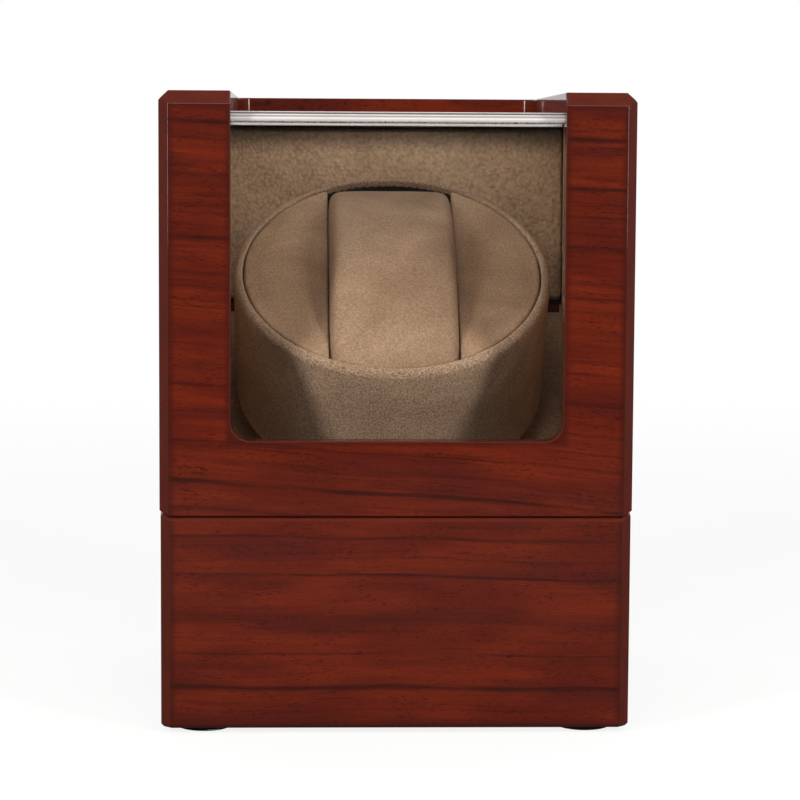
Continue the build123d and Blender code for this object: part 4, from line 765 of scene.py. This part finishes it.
def drum_wrap():
    """The velvet round the drum: one turned skin."""
    profile = wrap_profile()
    mesh = bmesh.new()
    rings = []
    for k in range(WRAP_TURNS):
        angle = 2 * math.pi * k / WRAP_TURNS
        ring = []
        for r, h in profile:
            if r > cup_r + 0.3 or h > drum_high - 1.6:
                r, h = handmade(r, h, angle)
            ring.append(mesh.verts.new(at_drum(r * math.cos(angle), r * math.sin(angle), h)))
        rings.append(ring)
    for a, b in zip(rings, rings[1:] + rings[:1]):
        join(mesh, a, b)
    bmesh.ops.recalc_face_normals(mesh, faces=mesh.faces)
    data = baked(mesh, "drum_velvet_wrap")
    made = piece("drum_velvet_wrap", data, velvet_wrap, "drum", "velvet", "drum_cover")


cushion_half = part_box("cushion_cover")[1].x + 0.08 * MM
PAD_GROWTH = 0.12  # the pads press lightly on the cushion and the wrap


def pad_outline(side):
    """Segment of a circle beside the cushion, as outline for stacked."""

    def outline(d):
        r, near = pad_r + PAD_GROWTH - d, pad_in - PAD_GROWTH + d
        corner = math.acos(near / r)
        arc = [(r * math.cos(a), r * math.sin(a)) for a in (corner * (i / 32 - 1) for i in range(65))]
        top = r * math.sin(corner)
        chord = [(near, top * (1 - i / 24)) for i in range(1, 48)]
        return [(side * x, s) for x, s in arc + chord]

    return outline


def held(distance, width, least):
    """Freedom that grows from least to 1 over this width."""
    return min(1.0, max(least, distance / width))


def pad_freedom(x, s, h):
    return held(h - pad_high + 3, 3, 0.0) * held(pad_r - math.hypot(x, s), 5, 0.15) * held(abs(x) - pad_in, 5, 0.15)


def cushion_freedom(x, s, h):
    return held(h + 14, 10, 0.25) * (1.0 if abs(x) < 12 else 0.55)


def lining_freedom(x, s, h):
    return 1.0


def thin(name, node, material, body, slot, cell, relief):
    """A glued cloth or felt layer: the CAD layer cut into cells of this size, its skin uneven by relief, both in
    millimetres."""
    mesh = bmesh.new()
    mesh.from_mesh(frame["nodes"][node].data)
    bmesh.ops.dissolve_limit(mesh, angle_limit=0.01, verts=mesh.verts, edges=mesh.edges)
    low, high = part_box(node)
    for axis in range(3):
        count = int((high[axis] - low[axis]) / MM / cell)
        for k in range(1, count + 1):
            at, across = Vector(), Vector()
            at[axis] = low[axis] + (high[axis] - low[axis]) * k / (count + 1)
            across[axis] = 1.0
            whole = mesh.verts[:] + mesh.edges[:] + mesh.faces[:]
            bmesh.ops.bisect_plane(mesh, geom=whole, plane_co=at, plane_no=across, dist=1e-7)
    bmesh.ops.triangulate(mesh, faces=mesh.faces)
    mesh.normal_update()
    moves = []
    for v in mesh.verts:
        p = v.co / MM
        moves.append(v.normal * relief * MM * (noise.fractal(p * 0.11, 0.7, 2.0, 3) - 0.3))
    for v, move in zip(mesh.verts, moves):
        v.co += move
    data = baked(mesh, name)
    made = piece(name, data, material, body, slot, node)
    for face in data.polygons:
        face.use_smooth = False
    return made


def copied(node, voxel, rounds):
    """An evened copy of a CAD node, with voxels of this many millimetres."""
    return evened(loose(node, frame["nodes"][node].data.copy()), voxel, rounds)


drum_wrap()
for side, sign in (("left", -1), ("right", 1)):
    stack = stacked(pad_outline(sign), pad_low, pad_high, 0.55)
    stuffed(
        "drum_velvet_pad_" + side,
        evened(loose("pad_" + side, stack), 0.75, 1, 0.35),
        velvet,
        "drum",
        "velvet",
        "drum_pad_" + side,
        cap=0.45,
        freedom=pad_freedom,
    )
stuffed(
    "cushion_velvet",
    copied("cushion_core", 1.0, 2),
    velvet_cushion_painted_shade,
    "cushion",
    "velvet",
    "cushion_cover",
    cap=1.0,
    freedom=cushion_freedom,
    start=0.84,
    half=cushion_half,
)
stuffed(
    "lid_suede_panel",
    copied("lid_lining_back", 1.0, 2),
    suede,
    "lid",
    "suede",
    "lid_lining_back",
    cap=0.6,
    freedom=lining_freedom,
)

thin("deck_suede_sheet", "deck_lining", deck_suede, "base", "suede", 3.0, 0.07)
thin("base_flock_sheets", "base_linings", flock, "base", "flock", 4.0, 0.05)
thin("lid_flock_sheets", "lid_lining_sides", flock, "lid", "flock", 4.0, 0.05)
thin("felt_feet", "feet", felt, "base", "felt", 1.2, 0.08)


# ---- camera at the photograph's angle, fitted to the corners of the box, its window and its drum ----
CAMERA_AZIMUTH, CAMERA_ELEVATION, CAMERA_ROLL = -2.02, 5.67, 0.32
CAMERA_DISTANCE = 0.6689
CAMERA_LENS = 119.43
CAMERA_SHIFT = (0.0034, 0.017)


def towards(azimuth, elevation):
    """Direction in degrees, azimuth 0 being in front of the object."""
    a, e = math.radians(azimuth), math.radians(elevation)
    return Vector((math.sin(a) * math.cos(e), -math.cos(a) * math.cos(e), math.sin(e)))


def aim_camera():
    target = Vector((0.0, body_low.y, (wood_low + body_high.z) / 2))
    back = towards(CAMERA_AZIMUTH, CAMERA_ELEVATION)
    data = bpy.data.cameras.new("photo_camera")
    camera = bpy.data.objects.new("photo_camera", data)
    scene.collection.objects.link(camera)
    camera.location = target + back * CAMERA_DISTANCE
    roll = Matrix.Rotation(math.radians(CAMERA_ROLL), 4, "Z")
    turn = (-back).to_track_quat("-Z", "Y").to_matrix().to_4x4() @ roll
    camera.rotation_euler = turn.to_euler()
    data.sensor_width = 36.0
    data.lens = CAMERA_LENS
    data.shift_x, data.shift_y = CAMERA_SHIFT
    data.clip_start, data.clip_end = 0.01, 20.0
    scene.camera = camera


aim_camera()


# ---- studio: pale floor, two side softboxes, one overhead, bright surroundings behind ----
LAMP_TARGET = Vector((0.0, 0.0, 0.09))
LAMP_DISTANCE = 0.9
LAMP_COLOUR = (1.0, 0.985, 0.96)


def softbox(name, azimuth, elevation, width, height, power):
    back = towards(azimuth, elevation)
    lamp = bpy.data.lights.new(name, "AREA")
    lamp.shape = "RECTANGLE"
    lamp.size, lamp.size_y = width, height
    lamp.energy, lamp.color = power, LAMP_COLOUR
    thing = bpy.data.objects.new(name, lamp)
    thing.location = LAMP_TARGET + back * LAMP_DISTANCE
    thing.rotation_euler = (-back).to_track_quat("-Z", "Y").to_euler()
    scene.collection.objects.link(thing)


softbox("softbox_left", -40.5, 16, 0.14, 0.5, 4.1)
softbox("softbox_right", 40.5, 16, 0.14, 0.5, 4.1)
softbox("softbox_above", 0, 37, 0.7, 0.4, 3.4)

# Brightness of the surroundings from the front (0) to the rear (1).
WORLD_LEVELS = ((0.05, 0.03), (0.2, 0.14), (0.6, 0.17), (0.78, 0.9))


def surroundings():
    """Plain white to the camera; dark in front and bright behind for everything else."""
    world = bpy.data.worlds.new("studio")
    scene.world = world
    world.use_nodes = True
    tree = world.node_tree
    tree.nodes.clear()
    direction = tree.nodes.new("ShaderNodeTexCoord")
    split = tree.nodes.new("ShaderNodeSeparateXYZ")
    tree.links.new(direction.outputs["Generated"], split.inputs[0])
    level = tree.nodes.new("ShaderNodeValToRGB")
    spread = tree.nodes.new("ShaderNodeMath")
    spread.operation = "MULTIPLY_ADD"
    spread.inputs[1].default_value = spread.inputs[2].default_value = 0.5
    tree.links.new(split.outputs["Y"], spread.inputs[0])
    tree.links.new(spread.outputs[0], level.inputs[0])
    steps = level.color_ramp.elements
    for place, value in WORLD_LEVELS:
        step = steps.new(place)
        step.color = (value, value, value, 1.0)
    steps.remove(steps[0])
    steps.remove(steps[-1])
    path = tree.nodes.new("ShaderNodeLightPath")
    strength = tree.nodes.new("ShaderNodeMath")
    strength.operation = "MAXIMUM"
    tree.links.new(path.outputs["Is Camera Ray"], strength.inputs[0])
    tree.links.new(level.outputs[0], strength.inputs[1])
    light = tree.nodes.new("ShaderNodeBackground")
    light.inputs["Color"].default_value = (1.0, 1.0, 1.0, 1.0)
    tree.links.new(strength.outputs[0], light.inputs["Strength"])
    tree.links.new(light.outputs[0], tree.nodes.new("ShaderNodeOutputWorld").inputs[0])


surroundings()


FLOOR_RADIUS = 1.4
FLOOR_FADE = (260.0, 900.0)  # millimetres from the middle over which it turns into the surroundings
FLOOR_GLOW = (0.86, 0.8)  # share of its own light, for other rays and for the camera


def floor():
    mesh = bmesh.new()
    bmesh.ops.create_circle(mesh, cap_ends=True, radius=FLOOR_RADIUS, segments=96)
    data = baked(mesh, "studio_floor")
    made = bpy.data.objects.new("studio_floor", data)
    scene.collection.objects.link(made)
    look = Look("floor_pale")
    mottled = look.noise(look.stretched(40.0, 40.0, 40.0), detail=3.0)
    pale = look.mix(look.range(mottled, 0.3, 0.7), srgb(244, 244, 243), srgb(248, 248, 247))
    matt = look.node("BsdfDiffuse", Color=pale)
    seen = look.node("LightPath").outputs["Is Camera Ray"]
    glow = look.node("Emission", Color=(1.0, 1.0, 1.0, 1.0), Strength=look.times(seen, 1.06))
    lit = look.blended(look.range(seen, 0.0, 1.0, *FLOOR_GLOW), matt, glow)
    radius = look.math("SQRT", look.add(look.times(look.x, look.x), look.times(look.y, look.y)))
    fading = look.blended(look.range(radius, *FLOOR_FADE), lit, look.node("BsdfTransparent"))
    data.materials.append(look.surface(fading))


floor()
scene.view_settings.view_transform = "Standard"
scene.view_settings.look = "None"
